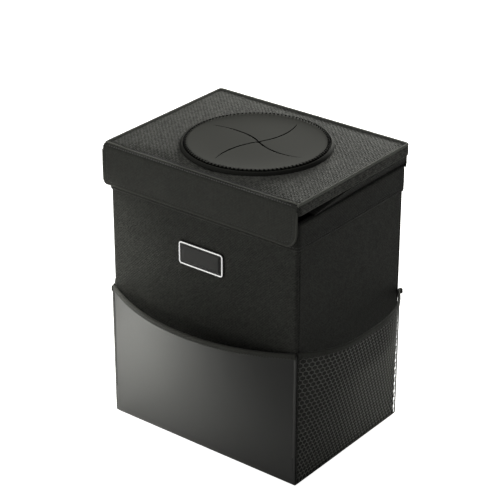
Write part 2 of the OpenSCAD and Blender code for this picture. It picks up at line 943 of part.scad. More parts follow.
// Plug half: a block with two strap slots, a middle tongue and two arms with thumb tabs
module buckle_plug() {
    root = 3;
    arm_t = 2.2;
    arm_y = socket_in / 2 - 1.55 * arm_t;
    tab_w = buckle_w / 2 - arm_y;
    tongue_l = window_x[1] - 2;
    color("#1a1a1b")
        on_back()
            union() {
                difference() {
                    buckle_plate(-plug_l, -2 * gap, buckle_w - 2, buckle_r - gap, bar_low, bar_high);
                    for (x = [inner_slot_x, outer_slot_x])
                        translate([x, -slot_len / 2, 0]) cube([plug_slot_w, slot_len, buckle_t]);
                }
                buckle_plate(-root, tongue_l, 2 * root, root / 2, bar_low, bar_high);
                for (y = [-1, 1]) {
                    translate([-root, y * arm_y - arm_t / 2, bar_low])
                        cube([window_x[1] - gap + root, arm_t, bar_t]);
                    translate([window_x[0] + gap, y * (arm_y + tab_w / 2) - tab_w / 2, bar_low])
                        cube([window_x[1] - window_x[0] - 2 * gap, tab_w, bar_t]);
                }
            }
}

bottom_panel();
bottom_board();
front_panel();
back_panel();
left_panel();
right_panel();
front_board();
back_board();
left_board();
right_board();
liner();
rim_band();
front_pocket();
left_net_pocket();
right_net_pocket();
front_pocket_binding();
left_pocket_binding();
right_pocket_binding();
label_plate();
label_outline();
rim_loop_strip();
lid_cover();
lid_board();
lid_foam();
lid_lining();
lid_piping();
opening_disc();
clamp_ring();
flap_cover();
flap_board();
flap_hook_strip();
lid_hinge_strip();
left_gusset();
right_gusset();
left_strap();
right_strap();
buckle_socket();
buckle_plug();
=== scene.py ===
"""Dress the car litter bin: cloth, pockets, nets, lid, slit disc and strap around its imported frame.

All sizes in this file are millimetres in the part's own frame, and every mesh is written in metres.
The origin is the middle of the underside, X is the width, -Y the front and +Z up.
"""

import logging
import math
from dataclasses import dataclass, field
from enum import Enum

import bmesh
import bpy
import numpy as np
from mathutils import Matrix, Vector

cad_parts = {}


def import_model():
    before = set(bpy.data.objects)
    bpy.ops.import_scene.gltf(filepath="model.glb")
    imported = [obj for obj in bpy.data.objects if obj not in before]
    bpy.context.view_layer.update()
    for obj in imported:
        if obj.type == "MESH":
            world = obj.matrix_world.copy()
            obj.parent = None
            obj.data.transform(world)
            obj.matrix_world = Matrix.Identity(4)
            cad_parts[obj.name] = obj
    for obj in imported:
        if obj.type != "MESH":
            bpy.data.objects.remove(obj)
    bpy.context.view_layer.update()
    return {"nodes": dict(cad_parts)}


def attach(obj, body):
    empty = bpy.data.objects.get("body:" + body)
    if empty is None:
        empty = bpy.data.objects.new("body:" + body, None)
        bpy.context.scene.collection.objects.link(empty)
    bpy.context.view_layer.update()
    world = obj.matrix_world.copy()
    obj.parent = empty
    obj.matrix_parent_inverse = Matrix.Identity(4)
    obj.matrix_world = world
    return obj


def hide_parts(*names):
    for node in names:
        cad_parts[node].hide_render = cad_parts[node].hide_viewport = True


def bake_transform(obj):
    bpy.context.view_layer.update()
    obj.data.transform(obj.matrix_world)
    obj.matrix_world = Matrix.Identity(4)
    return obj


LOG = logging.getLogger("litter_bin")
MM = 0.001
CLOTH_UV = "cloth"
UV_SPAN = 100.0  # millimetres of cloth in one unit of a piece's UV map
MERGE = 0.004  # points of one piece that lie this close, in millimetres, become one
EDGE_FALL = 0.96  # what a free edge loses of its thickness squared, which leaves a fifth of the thickness
STITCH_BOW = 0.45  # rise of a stitch's middle, in diameters of its thread
STITCH_SINK = 0.2  # depth of its ends under the seam, in the same measure
STITCH_SIZES = (0.55, 0.95, 1.0, 0.95, 0.55)  # its thickness from end to end
UPWARDS = (0.0, 0.0, 1.0)
LAMP_COLOUR = (1.0, 1.0, 0.94)

Array = np.ndarray


class Rides(Enum):
    """Names of the frame's bodies."""

    BIN = "bin"
    LID = "lid"
    FLAP = "flap"


# ---------------------------------------------------------------- shapes worked out with numpy


def unit(value: Array | float) -> Array:
    """Value held between 0 and 1."""
    return np.clip(value, 0, 1)


def ease(share: Array | float) -> Array:
    """Smooth step from 0 to 1, level at both ends."""
    share = unit(share)
    return share * share * (3 - 2 * share)


def bell(value: Array, middle: float, width: float) -> Array:
    """Bell curve of height 1 about a middle value."""
    return np.exp(-(((value - middle) / width) ** 2))


def smooth_path(points: Array, count: int) -> Array:
    """Carry a rounded curve through points and sample it evenly.

    Args:
        points: Array (n, d) of the points that it passes through.
        count: Number of samples.

    Returns:
        Array (count, d), a Catmull-Rom curve resampled at equal arc length.
    """
    pts = np.asarray(points, float)
    padded = np.vstack([2 * pts[0] - pts[1], pts, 2 * pts[-1] - pts[-2]])
    t = np.linspace(0, 1, 16, endpoint=False)[:, None, None]
    a, b, c, d = padded[:-3], padded[1:-2], padded[2:-1], padded[3:]
    dense = 0.5 * (
        2 * b + (c - a) * t + (2 * a - 5 * b + 4 * c - d) * t**2 + (3 * b - a - 3 * c + d) * t**3
    )
    dense = np.vstack([dense.transpose(1, 0, 2).reshape(-1, pts.shape[1]), pts[-1:]])
    return even_path(dense, count)


def even_path(points: Array, count: int) -> Array:
    """Resample a chain of points at equal arc length.

    Args:
        points: Array (n, d).
        count: Number of samples.

    Returns:
        Array (count, d).
    """
    along = path_length(points)
    wanted = np.linspace(0, along[-1], count)
    return np.column_stack([np.interp(wanted, along, column) for column in points.T])


def path_length(points: Array) -> Array:
    """Arc length up to each point of a chain."""
    steps = np.linalg.norm(np.diff(points, axis=0), axis=1)
    return np.concatenate([[0.0], np.cumsum(steps)])


@dataclass(frozen=True)
class Outline:
    """Closed outline in plan with its outward normals and arc length."""

    points: Array
    normals: Array
    along: Array


def rounded_outline(width: float, depth: float, radius: float, step: float = 2.5,
                    per_corner: int = 10) -> Outline:
    """Trace a rectangle with round corners.

    Each corner is a quarter circle of even steps, and each side an even run between two of them.

    Args:
        width: Size along X.
        depth: Size along Y.
        radius: Corner radius.
        step: Longest step on the sides.
        per_corner: Steps in each corner.

    Returns:
        The outline, anticlockwise from the right end of the back corner.
    """
    middles = np.array([[1, 1], [-1, 1], [-1, -1], [1, -1]]) * [width / 2 - radius, depth / 2 - radius]
    runs_p, runs_n = [], []
    for k, middle in enumerate(middles):
        angles = np.linspace(k, k + 1, per_corner + 1) * math.pi / 2
        normal = np.column_stack([np.cos(angles), np.sin(angles)])
        arc = middle + radius * normal
        after = middles[(k + 1) % 4] + radius * normal[-1]
        count = max(2, int(np.linalg.norm(after - arc[-1]) / step))
        share = np.linspace(0, 1, count, endpoint=False)[1:, None]
        runs_p += [arc, arc[-1] + (after - arc[-1]) * share]
        runs_n += [normal, np.repeat(normal[-1:], count - 1, axis=0)]
    points = np.vstack(runs_p)
    closed = np.vstack([points, points[:1]])
    return Outline(points, np.vstack(runs_n), path_length(closed)[:-1])


def grid_faces(rows: int, columns: int, wrap: bool = False, first: int = 0) -> Array:
    """Quads of a grid of points stored row by row.

    Args:
        rows: Points along the first parameter.
        columns: Points along the second parameter.
        wrap: True where the first parameter closes on itself.
        first: Index of the grid's first point.

    Returns:
        Array (n, 4) of point indices.
    """
    i = np.arange(rows if wrap else rows - 1)[:, None]
    j = np.arange(columns - 1)[None, :]
    a = i * columns + j
    b = ((i + 1) % rows) * columns + j
    return first + np.stack([a, b, b + 1, a + 1], axis=-1).reshape(-1, 4)


def surface_normals(points: Array, wrap: bool = False) -> Array:
    """Unit normals of a grid surface, from the cross product of its two slopes.

    Args:
        points: Array (rows, columns, 3).
        wrap: True where the rows close on themselves.

    Returns:
        Array (rows, columns, 3).
    """
    if wrap:
        ring = np.concatenate([points[-1:], points, points[:1]])
        du = (ring[2:] - ring[:-2]) / 2
    else:
        du = np.gradient(points, axis=0)
    dv = np.gradient(points, axis=1)
    cross = np.cross(du, dv)
    return cross / np.maximum(np.linalg.norm(cross, axis=-1, keepdims=True), 1e-9)


def ripple(u: Array, v: Array, seed: int, scale: float, waves: int = 6) -> Array:
    """Soft random unevenness: a sum of a few seeded sine waves across a surface.

    Args:
        u: First coordinate in millimetres.
        v: Second coordinate in millimetres.
        seed: Seed of the waves' directions and phases.
        scale: Typical wavelength in millimetres.
        waves: Number of waves.

    Returns:
        Array of heights from about -1 to 1.
    """
    rng = np.random.default_rng(seed)
    total = np.zeros(np.broadcast(u, v).shape)
    for _ in range(waves):
        turn, phase = rng.uniform(0, 2 * math.pi, 2)
        k = 2 * math.pi / (scale * rng.uniform(0.7, 1.6))
        total = total + np.sin(k * (u * math.cos(turn) + v * math.sin(turn)) + phase)
    return total / waves


def make_mesh(name: str, points: Array, faces: Array, uv: Array | None = None) -> bpy.types.Object:
    """Write a smooth mesh object in metres.

    Args:
        name: Name of the piece.
        points: Array (n, 3) in millimetres.
        faces: Array (m, 3 or 4) of indices, outwards by the right hand.
        uv: Optional array (n, 2) in millimetres of cloth.

    Returns:
        The new object, linked to the scene, at the origin.
    """
    mesh = bpy.data.meshes.new(name)
    count, sides = faces.shape
    mesh.vertices.add(len(points))
    mesh.vertices.foreach_set("co", (points * MM).astype(np.float32).ravel())
    mesh.loops.add(count * sides)
    mesh.loops.foreach_set("vertex_index", faces.astype(np.int32).ravel())
    mesh.polygons.add(count)
    mesh.polygons.foreach_set("loop_start", np.arange(0, count * sides, sides, dtype=np.int32))
    mesh.polygons.foreach_set("use_smooth", np.ones(count, bool))
    mesh.update(calc_edges=True)
    mesh.validate()
    if uv is not None:
        layer = mesh.uv_layers.new(name=CLOTH_UV)
        loops = np.zeros(len(mesh.loops), np.int32)
        mesh.loops.foreach_get("vertex_index", loops)
        layer.data.foreach_set("uv", (uv[loops] / UV_SPAN).astype(np.float32).ravel())
    piece = bpy.data.objects.new(name, mesh)
    bpy.context.scene.collection.objects.link(piece)
    return piece


def weld(piece: bpy.types.Object) -> None:
    """Merge a mesh's doubles and turn its faces outwards.

    Args:
        piece: The object.
    """
    work = bmesh.new()
    work.from_mesh(piece.data)
    bmesh.ops.remove_doubles(work, verts=work.verts, dist=MERGE * MM)
    bmesh.ops.recalc_face_normals(work, faces=work.faces)
    work.to_mesh(piece.data)
    work.free()
    piece.data.update()


def cloth_uv(points: Array) -> Array:
    """Length of cloth along both parameters of a grid, measured along its middle row and column.

    Args:
        points: Array (rows, columns, 3).

    Returns:
        Array (rows, columns, 2) in millimetres.
    """
    rows, columns = points.shape[:2]
    u = path_length(points[:, columns // 2])
    v = path_length(points[rows // 2])
    return np.stack(np.broadcast_arrays(u[:, None], v[None, :]), axis=-1)


def thick_sheet(name: str, middle: Array, thickness: Array | float, wrap: bool = False, roll: float = 1.0,
                pole: bool = False, flat: Array | None = None) -> bpy.types.Object:
    """Give a grid surface its thickness, with rounded free edges.

    The outer and inner faces lie half the thickness to either side of the middle surface. Near a free
    edge the half thickness follows a quarter ellipse down to a fifth, and a strip closes the edge.

    Args:
        name: Name of the piece.
        middle: Array (rows, columns, 3) of the middle surface, in millimetres.
        thickness: Thickness, or an array (rows, columns).
        wrap: True where the rows close on themselves.
        roll: Distance over which an edge is rounded, in millimetres.
        pole: True where the first column is a single point.
        flat: Place of each point on the flat cloth, (rows, columns, 2) in millimetres; without it, the
            lengths along the grid.

    Returns:
        The closed mesh object. Its outside is where du x dv points.
    """
    rows, columns = middle.shape[:2]
    normal = surface_normals(middle, wrap)
    cloth = cloth_uv(middle)
    edge = cloth[..., 1].max() - cloth[..., 1]
    if pole:
        normal[:, 0] = normal[:, 1].mean(axis=0) / np.linalg.norm(normal[:, 1].mean(axis=0))
    else:
        edge = np.minimum(edge, cloth[..., 1])
    if not wrap:
        edge = np.minimum(edge, np.minimum(cloth[..., 0], cloth[..., 0].max() - cloth[..., 0]))
    half = np.asarray(thickness) / 2 * np.sqrt(1 - (1 - unit(edge / roll)) ** 2 * EDGE_FALL)
    out = middle + normal * half[..., None]
    back = middle - normal * half[..., None]
    count = rows * columns
    faces = [grid_faces(rows, columns, wrap), grid_faces(rows, columns, wrap, count)[:, ::-1]]
    grid = np.arange(count).reshape(rows, columns)
    borders = [(grid[:, -1], wrap, False)]
    if not pole:
        borders.append((grid[:, 0], wrap, True))
    if not wrap:
        borders += [(grid[0], False, False), (grid[-1], False, True)]
    for line, closed, flip in borders:
        a = line if closed else line[:-1]
        b = np.roll(line, -1) if closed else line[1:]
        quad = np.column_stack([a, a + count, b + count, b])
        faces.append(quad if flip else quad[:, ::-1])
    laid = cloth if flat is None else flat
    uv = np.concatenate([laid.reshape(-1, 2)] * 2)
    piece = make_mesh(name, np.concatenate([out, back]).reshape(-1, 3), np.vstack(faces), uv)
    if pole:
        weld(piece)
    return piece


def swept_loop(outline: Outline, profile: Array) -> Array:
    """Carry a profile of (outward, height) points round an outline.

    Args:
        outline: The outline that it follows.
        profile: Array (n, 2) of outward distances and heights.

    Returns:
        Array (outline points, n, 3).
    """
    plan = outline.points[:, None, :] + outline.normals[:, None, :] * profile[None, :, :1]
    height = np.broadcast_to(profile[None, :, 1:], (len(plan), len(profile), 1))
    return np.concatenate([plan, height], axis=-1)


def tube(name: str, path: Array, radius: Array | float, sides: int = 10) -> bpy.types.Object:
    """Carry a circle along an open path and close both ends.

    At each point the circle stands square to the path, turned from a fixed side direction.

    Args:
        name: Name of the piece.
        path: Array (n, 3) in millimetres.
        radius: Radius, or one for each point.
        sides: Points round the circle.

    Returns:
        The closed tube.
    """
    ahead = np.gradient(path, axis=0)
    ahead /= np.linalg.norm(ahead, axis=1, keepdims=True)
    steep = np.abs(ahead[:, 2:]) > 0.9
    side = np.cross(ahead, np.where(steep, [[0.0, 1.0, 0.0]], [UPWARDS]))
    side /= np.linalg.norm(side, axis=1, keepdims=True)
    top = np.cross(side, ahead)
    turn = np.linspace(0, 2 * math.pi, sides, endpoint=False)
    spoke = side[:, None] * np.cos(turn)[None, :, None] + top[:, None] * np.sin(turn)[None, :, None]
    size = np.broadcast_to(np.asarray(radius, float), (len(path),))[:, None, None]
    grid = (path[:, None] + spoke * size).transpose(1, 0, 2).reshape(-1, 3)
    rows = len(path)
    near = np.arange(sides) * rows
    far = near + rows - 1
    caps = (np.column_stack([near, np.roll(near, -1), np.full(sides, len(grid))]),
            np.column_stack([np.roll(far, -1), far, np.full(sides, len(grid) + 1)]))
    faces = np.vstack([split_quads(grid_faces(sides, rows, True)), *caps])
    return make_mesh(name, np.vstack([grid, path[:1], path[-1:]]), faces)


def split_quads(quads: Array) -> Array:
    """Two triangles for each quad."""
    return np.vstack([quads[:, [0, 1, 2]], quads[:, [0, 2, 3]]])


def quad_strip(one: Array, other: Array) -> Array:
    """Quads between two lines of point indices."""
    return np.column_stack([one[:-1], other[:-1], other[1:], one[1:]])


def repeated(faces: Array, times: int, points: int) -> Array:
    """Faces of one small form, repeated for a row of such forms with so many points each."""
    return (faces[None] + (np.arange(times) * points)[:, None, None]).reshape(-1, faces.shape[1])


def stitches(name: str, path: Array, outward: Array | tuple[float, float, float], pitch: float = 3.0,
             long: float = 2.2, thick: float = 0.5) -> bpy.types.Object:
    """A run of thread stitches along a seam.

    Each stitch is a short rod that bows out of the cloth: its height above the seam follows half a
    sine wave along its length, and its ends dip into the cloth.

    Args:
        name: Name of the piece.
        path: Array (n, 3) that the seam follows, in millimetres.
        outward: Outward direction of the cloth, one for all or one for each point.
        pitch: Distance from one stitch to the next.
        long: Length of a stitch.
        thick: Diameter of the thread.

    Returns:
        One mesh with all the stitches.
    """
    along = path_length(path)
    count = max(1, int(along[-1] / pitch))
    starts = (np.arange(count) + 0.5) * along[-1] / count - long / 2
    rings, sides = len(STITCH_SIZES), 6
    share = np.linspace(0, 1, rings)
    at = starts[:, None] + share[None] * long
    spot = np.stack([np.interp(at, along, c) for c in path.T], axis=-1)
    out = np.stack([np.interp(at, along, c) for c in np.broadcast_to(outward, path.shape).T], axis=-1)
    out /= np.linalg.norm(out, axis=-1, keepdims=True)
    ahead = spot[:, -1:] - spot[:, :1]
    ahead = ahead / np.linalg.norm(ahead, axis=-1, keepdims=True)
    side = np.cross(ahead, out)
    spot = spot + out * ((np.sin(share * math.pi) * STITCH_BOW - STITCH_SINK) * thick)[None, :, None]
    turn = np.linspace(0, 2 * math.pi, sides, endpoint=False)
    size = (thick / 2) * np.array(STITCH_SIZES)[None, :, None, None]
    around = (side[:, :, None] * np.cos(turn)[None, None, :, None]
              + out[:, :, None] * np.sin(turn)[None, None, :, None])
    points = (spot[:, :, None] + around * size).transpose(0, 2, 1, 3).reshape(-1, 3)
    near = np.arange(sides) * rings
    far = near + rings - 1
    caps = np.vstack([near[[0, 1, 2, 3]], near[[0, 3, 4, 5]], far[[3, 2, 1, 0]], far[[5, 4, 3, 0]]])
    faces = [repeated(form, count, sides * rings) for form in (grid_faces(sides, rings, True), caps)]
    return make_mesh(name, points, np.vstack(faces))


# ---------------------------------------------------------------- materials


def linear(grey: float, tint: tuple[float, float, float]) -> tuple[float, float, float, float]:
    """Scene-linear colour of an sRGB grey: a straight line for the darkest greys, then a power of 2.4.

    Args:
        grey: Grey from 0 to 255.
        tint: Factors of red, green and blue.

    Returns:
        Red, green, blue and an alpha of 1.
    """
    level = grey / 255
    value = level / 12.92 if level <= 0.04045 else ((level + 0.055) / 1.055) ** 2.4
    return (value * tint[0], value * tint[1], value * tint[2], 1.0)


class NodeBench:
    """Short ways to add and join nodes in one tree."""

    def __init__(self, tree: bpy.types.NodeTree) -> None:
        """Keep the tree that nodes are added to."""
        self.tree = tree

    def add(self, kind: str, **settings: object) -> bpy.types.Node:
        """Add a node.

        Args:
            kind: Its type.
            settings: Properties to set on it.

        Returns:
            The node.
        """
        node = self.tree.nodes.new(kind)
        for key, value in settings.items():
            setattr(node, key, value)
        return node

    def join(self, source: object, target: bpy.types.NodeSocket) -> None:
        """Link a socket, or write a plain value."""
        if isinstance(source, bpy.types.NodeSocket):
            self.tree.links.new(source, target)
        else:
            target.default_value = source

    def math(self, operation: str, a: object, b: object = 0.0, c: object = 0.0) -> bpy.types.NodeSocket:
        """Add a Math node.

        Args:
            operation: Its operation.
            a: First value or socket.
            b: Second value or socket.
            c: Third value or socket.

        Returns:
            Its output.
        """
        node = self.add("ShaderNodeMath", operation=operation)
        for socket, value in zip(node.inputs, (a, b, c)):
            self.join(value, socket)
        return node.outputs[0]

    def ramp(self, value: object, low: float, high: float) -> bpy.types.NodeSocket:
        """Smooth step from 0 to 1.

        Args:
            value: Value or socket.
            low: Value at which the step starts.
            high: Value at which it ends.

        Returns:
            The step's output.
        """
        node = self.add("ShaderNodeMapRange", interpolation_type="SMOOTHSTEP")
        for socket, item in zip(node.inputs, (value, low, high, 0.0, 1.0)):
            self.join(item, socket)
        return node.outputs[0]

    def noise(self, vector: object, scale: float, detail: float = 2.0,
              rough: float = 0.5) -> bpy.types.NodeSocket:
        """Add a Noise Texture.

        Args:
            vector: Place on the surface.
            scale: Its waves in one unit.
            detail: Number of finer layers.
            rough: How strong the finer layers are.

        Returns:
            Its grey output.
        """
        node = self.add("ShaderNodeTexNoise")
        self.join(vector, node.inputs["Vector"])
        node.inputs["Scale"].default_value = scale
        node.inputs["Detail"].default_value = detail
        node.inputs["Roughness"].default_value = rough
        return node.outputs["Fac"]

    def stretch(self, vector: object, scale: tuple[float, float, float]) -> bpy.types.NodeSocket:
        """Scale a vector.

        Args:
            vector: Vector or socket.
            scale: Factor along each axis.

        Returns:
            The scaled vector.
        """
        node = self.add("ShaderNodeMapping")
        self.join(vector, node.inputs["Vector"])
        node.inputs["Scale"].default_value = scale
        return node.outputs[0]

    def blend(self, share: object, a: object, b: object) -> bpy.types.NodeSocket:
        """Mix two colours.

        Args:
            share: Share of the second colour.
            a: First colour.
            b: Second colour.

        Returns:
            The mixed colour.
        """
        node = self.add("ShaderNodeMix", data_type="RGBA")
        self.join(share, node.inputs["Factor"])
        self.join(a, node.inputs["A"])
        self.join(b, node.inputs["B"])
        return node.outputs["Result"]

    def bump(self, height: object, strength: float, depth: float) -> bpy.types.NodeSocket:
        """Bend the surface's normal by a height.

        Args:
            height: Height from 0 to 1.
            strength: Share of the full effect.
            depth: Depth in millimetres that a height of 1 stands for.

        Returns:
            The bent normal.
        """
        node = self.add("ShaderNodeBump")
        node.inputs["Strength"].default_value = strength
        node.inputs["Distance"].default_value = depth * MM
        self.join(height, node.inputs["Height"])
        return node.outputs[0]

    def by_ray(self, other: bpy.types.NodeSocket, camera: bpy.types.NodeSocket,
               target: bpy.types.NodeSocket) -> None:
        """Show one shader to the camera and another to every other ray.

        Args:
            other: Shader for the other rays.
            camera: Shader for the camera's rays.
            target: Input that the mix goes to.
        """
        mix = self.add("ShaderNodeMixShader")
        self.join(self.add("ShaderNodeLightPath").outputs["Is Camera Ray"], mix.inputs[0])
        self.join(other, mix.inputs[1])
        self.join(camera, mix.inputs[2])
        self.join(mix.outputs[0], target)


def new_group(name: str, inputs: dict[str, float | None],
              outputs: list[str]) -> tuple[bpy.types.NodeTree, NodeBench, dict[str, bpy.types.NodeSocket]]:
    """Make a shader node group with named sockets.

    Args:
        name: Name of the group.
        inputs: Name and default of each value input, or None for a vector.
        outputs: Names of the value outputs.

    Returns:
        The group, its bench, and its inner sockets by name.
    """
    tree = bpy.data.node_groups.new(name, "ShaderNodeTree")
    for key, value in inputs.items():
        kind = "NodeSocketVector" if value is None else "NodeSocketFloat"
        socket = tree.interface.new_socket(key, in_out="INPUT", socket_type=kind)
        if value is not None:
            socket.default_value = value
    for key in outputs:
        tree.interface.new_socket(key, in_out="OUTPUT", socket_type="NodeSocketFloat")
    bench = NodeBench(tree)
    start, end = bench.add("NodeGroupInput"), bench.add("NodeGroupOutput")
    sockets = {key: start.outputs[key] for key in inputs}
    sockets.update({key: end.inputs[key] for key in outputs})
    return tree, bench, sockets


def weave_group() -> bpy.types.NodeTree:
    """Weave: yarns cross over and under, each a rounded ridge with fine fibres and a grey of its own.

    Twill goes from 0, a plain checker of crossings, to 1, slanting ribs.

    Returns:
        The group.
    """
    tree, b, io = new_group(
        "weave", {"Vector": None, "Pitch": 1.2, "Twist": 0.5, "Twill": 0.0}, ["Height", "Shade", "Grain"])
    parts = b.add("ShaderNodeSeparateXYZ")
    b.join(io["Vector"], parts.inputs[0])
    drift = b.math("MULTIPLY", b.math("SUBTRACT", b.noise(io["Vector"], 3.0, 3.0), 0.5), io["Twist"])
    u = b.math("ADD", b.math("DIVIDE", b.math("MULTIPLY", parts.outputs[0], UV_SPAN), io["Pitch"]), drift)
    v = b.math("SUBTRACT", b.math("DIVIDE", b.math("MULTIPLY", parts.outputs[1], UV_SPAN), io["Pitch"]), drift)
    wave_u, wave_v = (b.math("SINE", b.math("MULTIPLY", way, math.pi)) for way in (u, v))
    over = b.ramp(b.math("MULTIPLY", wave_u, wave_v), -0.25, 0.25)
    plain = b.math("ADD", b.math("MULTIPLY", over, b.math("ABSOLUTE", wave_u)),
                   b.math("MULTIPLY", b.math("SUBTRACT", 1.0, over), b.math("ABSOLUTE", wave_v)))
    slant = b.math("SUBTRACT", v, u)
    rib = b.math("ABSOLUTE", b.math("SINE", b.math("MULTIPLY", slant, math.pi / 2)))
    height = b.math("ADD", b.math("MULTIPLY", plain, b.math("SUBTRACT", 1.0, io["Twill"])),
                    b.math("MULTIPLY", rib, io["Twill"]))
    cell, grey = b.add("ShaderNodeCombineXYZ"), b.add("ShaderNodeTexWhiteNoise", noise_dimensions="2D")
    b.join(b.math("FLOOR", u), cell.inputs[0])
    b.join(b.math("FLOOR", v), cell.inputs[1])
    b.join(cell.outputs[0], grey.inputs["Vector"])
    fibres = b.noise(io["Vector"], 160.0, 2.0, 0.6)
    b.join(b.math("MULTIPLY_ADD", height, 0.8, b.math("MULTIPLY", fibres, 0.2)), io["Height"])
    b.join(b.math("MULTIPLY_ADD", height, 0.7, b.math("MULTIPLY", fibres, 0.3)), io["Shade"])
    b.join(grey.outputs["Value"], io["Grain"])
    return tree


def mottle_group() -> bpy.types.NodeTree:
    """Soft unevenness and rubbed patches over a surface, from noise at three sizes.

    Returns:
        The group.
    """
    tree, b, io = new_group("mottle", {"Vector": None, "Size": 20.0}, ["Broad", "Fine", "Rubbed"])
    scaled = b.add("ShaderNodeVectorMath", operation="SCALE")
    b.join(io["Vector"], scaled.inputs[0])
    b.join(b.math("DIVIDE", 1000.0, io["Size"]), scaled.inputs["Scale"])
    b.join(b.noise(scaled.outputs[0], 1.0, 3.0), io["Broad"])
    b.join(b.noise(scaled.outputs[0], 14.0, 4.0, 0.6), io["Fine"])
    b.join(b.ramp(b.noise(scaled.outputs[0], 2.3, 6.0, 0.7), 0.55, 0.75), io["Rubbed"])
    return tree


@dataclass
class Finishes:
    """Every material of the bin, made once and handed out by name."""

    groups: dict[str, bpy.types.NodeTree] = field(default_factory=dict)
    made: dict[str, bpy.types.Material] = field(default_factory=dict)

    def __post_init__(self) -> None:
        """Build the shared node groups."""
        self.groups = {"weave": weave_group(), "mottle": mottle_group()}

    def start(self, name: str) -> tuple[NodeBench, bpy.types.Node]:
        """Make a material and keep it.

        Args:
            name: Its name.

        Returns:
            Its bench and its Principled shader.
        """
        material = bpy.data.materials.new(name)
        material.use_nodes = True
        self.made[name] = material
        return NodeBench(material.node_tree), material.node_tree.nodes["Principled BSDF"]

    def group(self, bench: NodeBench, name: str, **inputs: object) -> bpy.types.Node:
        """Place a shared group in a material.

        Args:
            bench: The material's bench.
            name: Name of the group.
            inputs: Values or sockets for its inputs.

        Returns:
            The group's node.
        """
        node = bench.add("ShaderNodeGroup", node_tree=self.groups[name])
        for key, value in inputs.items():
            bench.join(value, node.inputs[key])
        return node


@dataclass(frozen=True)
class Cloth:
    """Woven cloth: its grey, yarn pitch, relief and sheen."""

    name: str
    grey: float
    light: float
    pitch: float = 1.5
    relief: float = 0.25
    rough: float = 0.75
    sheen: float = 0.08
    specular: float = 0.15
    grain: float = 0.25
    twill: float = 0.0
    cloud_size: float = 24.0
    broad: float = 0.25
    fine: float = 0.3
    wear: float = 0.08
    tint: tuple[float, float, float] = (0.98, 1.0, 0.9)
    use_uv: bool = True

    def build(self, finishes: Finishes) -> None:
        """Make the material: weave in colour and bump, broad mottle, rubbed high spots.

        Args:
            finishes: Where it is kept.
        """
        b, shader = finishes.start(self.name)
        place = b.add("ShaderNodeTexCoord").outputs["UV" if self.use_uv else "Object"]
        body = b.add("ShaderNodeTexCoord").outputs["Object"]
        if not self.use_uv:
            place = b.stretch(place, (1000 / UV_SPAN,) * 3)
        weave = finishes.group(b, "weave", Vector=place, Pitch=self.pitch, Twill=self.twill)
        mottle = finishes.group(b, "mottle", Vector=body, Size=self.cloud_size)
        yarn = b.math("MULTIPLY_ADD", weave.outputs["Shade"], 1 - self.grain,
                      b.math("MULTIPLY", weave.outputs["Grain"], self.grain))
        uneven = b.math("MULTIPLY_ADD", mottle.outputs["Broad"], self.broad,
                        b.math("MULTIPLY", mottle.outputs["Fine"], self.fine))
        share = b.math("ADD", yarn, b.math("SUBTRACT", uneven, 0.27))
        colour = b.blend(share, linear(self.grey, self.tint), linear(self.light, self.tint))
        b.join(colour, shader.inputs["Base Color"])
        worn = b.math("MULTIPLY", mottle.outputs["Rubbed"], self.wear)
        b.join(b.math("SUBTRACT", self.rough, worn), shader.inputs["Roughness"])
        b.join(b.bump(weave.outputs["Height"], 0.9, self.relief), shader.inputs["Normal"])
        shader.inputs["Sheen Weight"].default_value = self.sheen
        shader.inputs["Sheen Roughness"].default_value = 0.5
        shader.inputs["Specular IOR Level"].default_value = self.specular


@dataclass(frozen=True)
class Moulded:
    """Moulded rubber or plastic, or smooth coated sheet: its grey, gloss and fine grain."""

    name: str
    grey: float
    light: float
    rough: float = 0.5
    grain: float = 0.03
    grain_size: float = 0.8
    specular: float = 0.5
    # painted light: a glow in the part's own colour, as if it were a lamp
    glow: float = 0.0
    cloud_size: float = 30.0
    uneven: float = 0.08
    tint: tuple[float, float, float] = (1.0, 1.0, 1.0)

    def build(self, finishes: Finishes) -> None:
        """Make the material: fine grain in the bump, uneven gloss, faint clouding of the colour, and where glow is
        set, a painted glow in its own colour.

        Args:
            finishes: Where it is kept.
        """
        b, shader = finishes.start(self.name)
        body = b.add("ShaderNodeTexCoord").outputs["Object"]
        mottle = finishes.group(b, "mottle", Vector=body, Size=self.cloud_size)
        grain = b.noise(body, 1000 / self.grain_size, 3.0, 0.55)
        share = b.math("MULTIPLY_ADD", mottle.outputs["Broad"], 0.5,
                       b.math("MULTIPLY", mottle.outputs["Fine"], 0.5))
        colour = b.blend(share, linear(self.grey, self.tint), linear(self.light, self.tint))
        b.join(colour, shader.inputs["Base Color"])
        gloss = b.math("MULTIPLY_ADD", mottle.outputs["Fine"], self.uneven, self.rough - self.uneven / 2)
        b.join(gloss, shader.inputs["Roughness"])
        b.join(b.bump(grain, 0.6, self.grain), shader.inputs["Normal"])
        shader.inputs["Specular IOR Level"].default_value = self.specular
        # painted light: the colour is also emitted
        if self.glow:
            b.join(colour, shader.inputs["Emission Color"])
            shader.inputs["Emission Strength"].default_value = self.glow


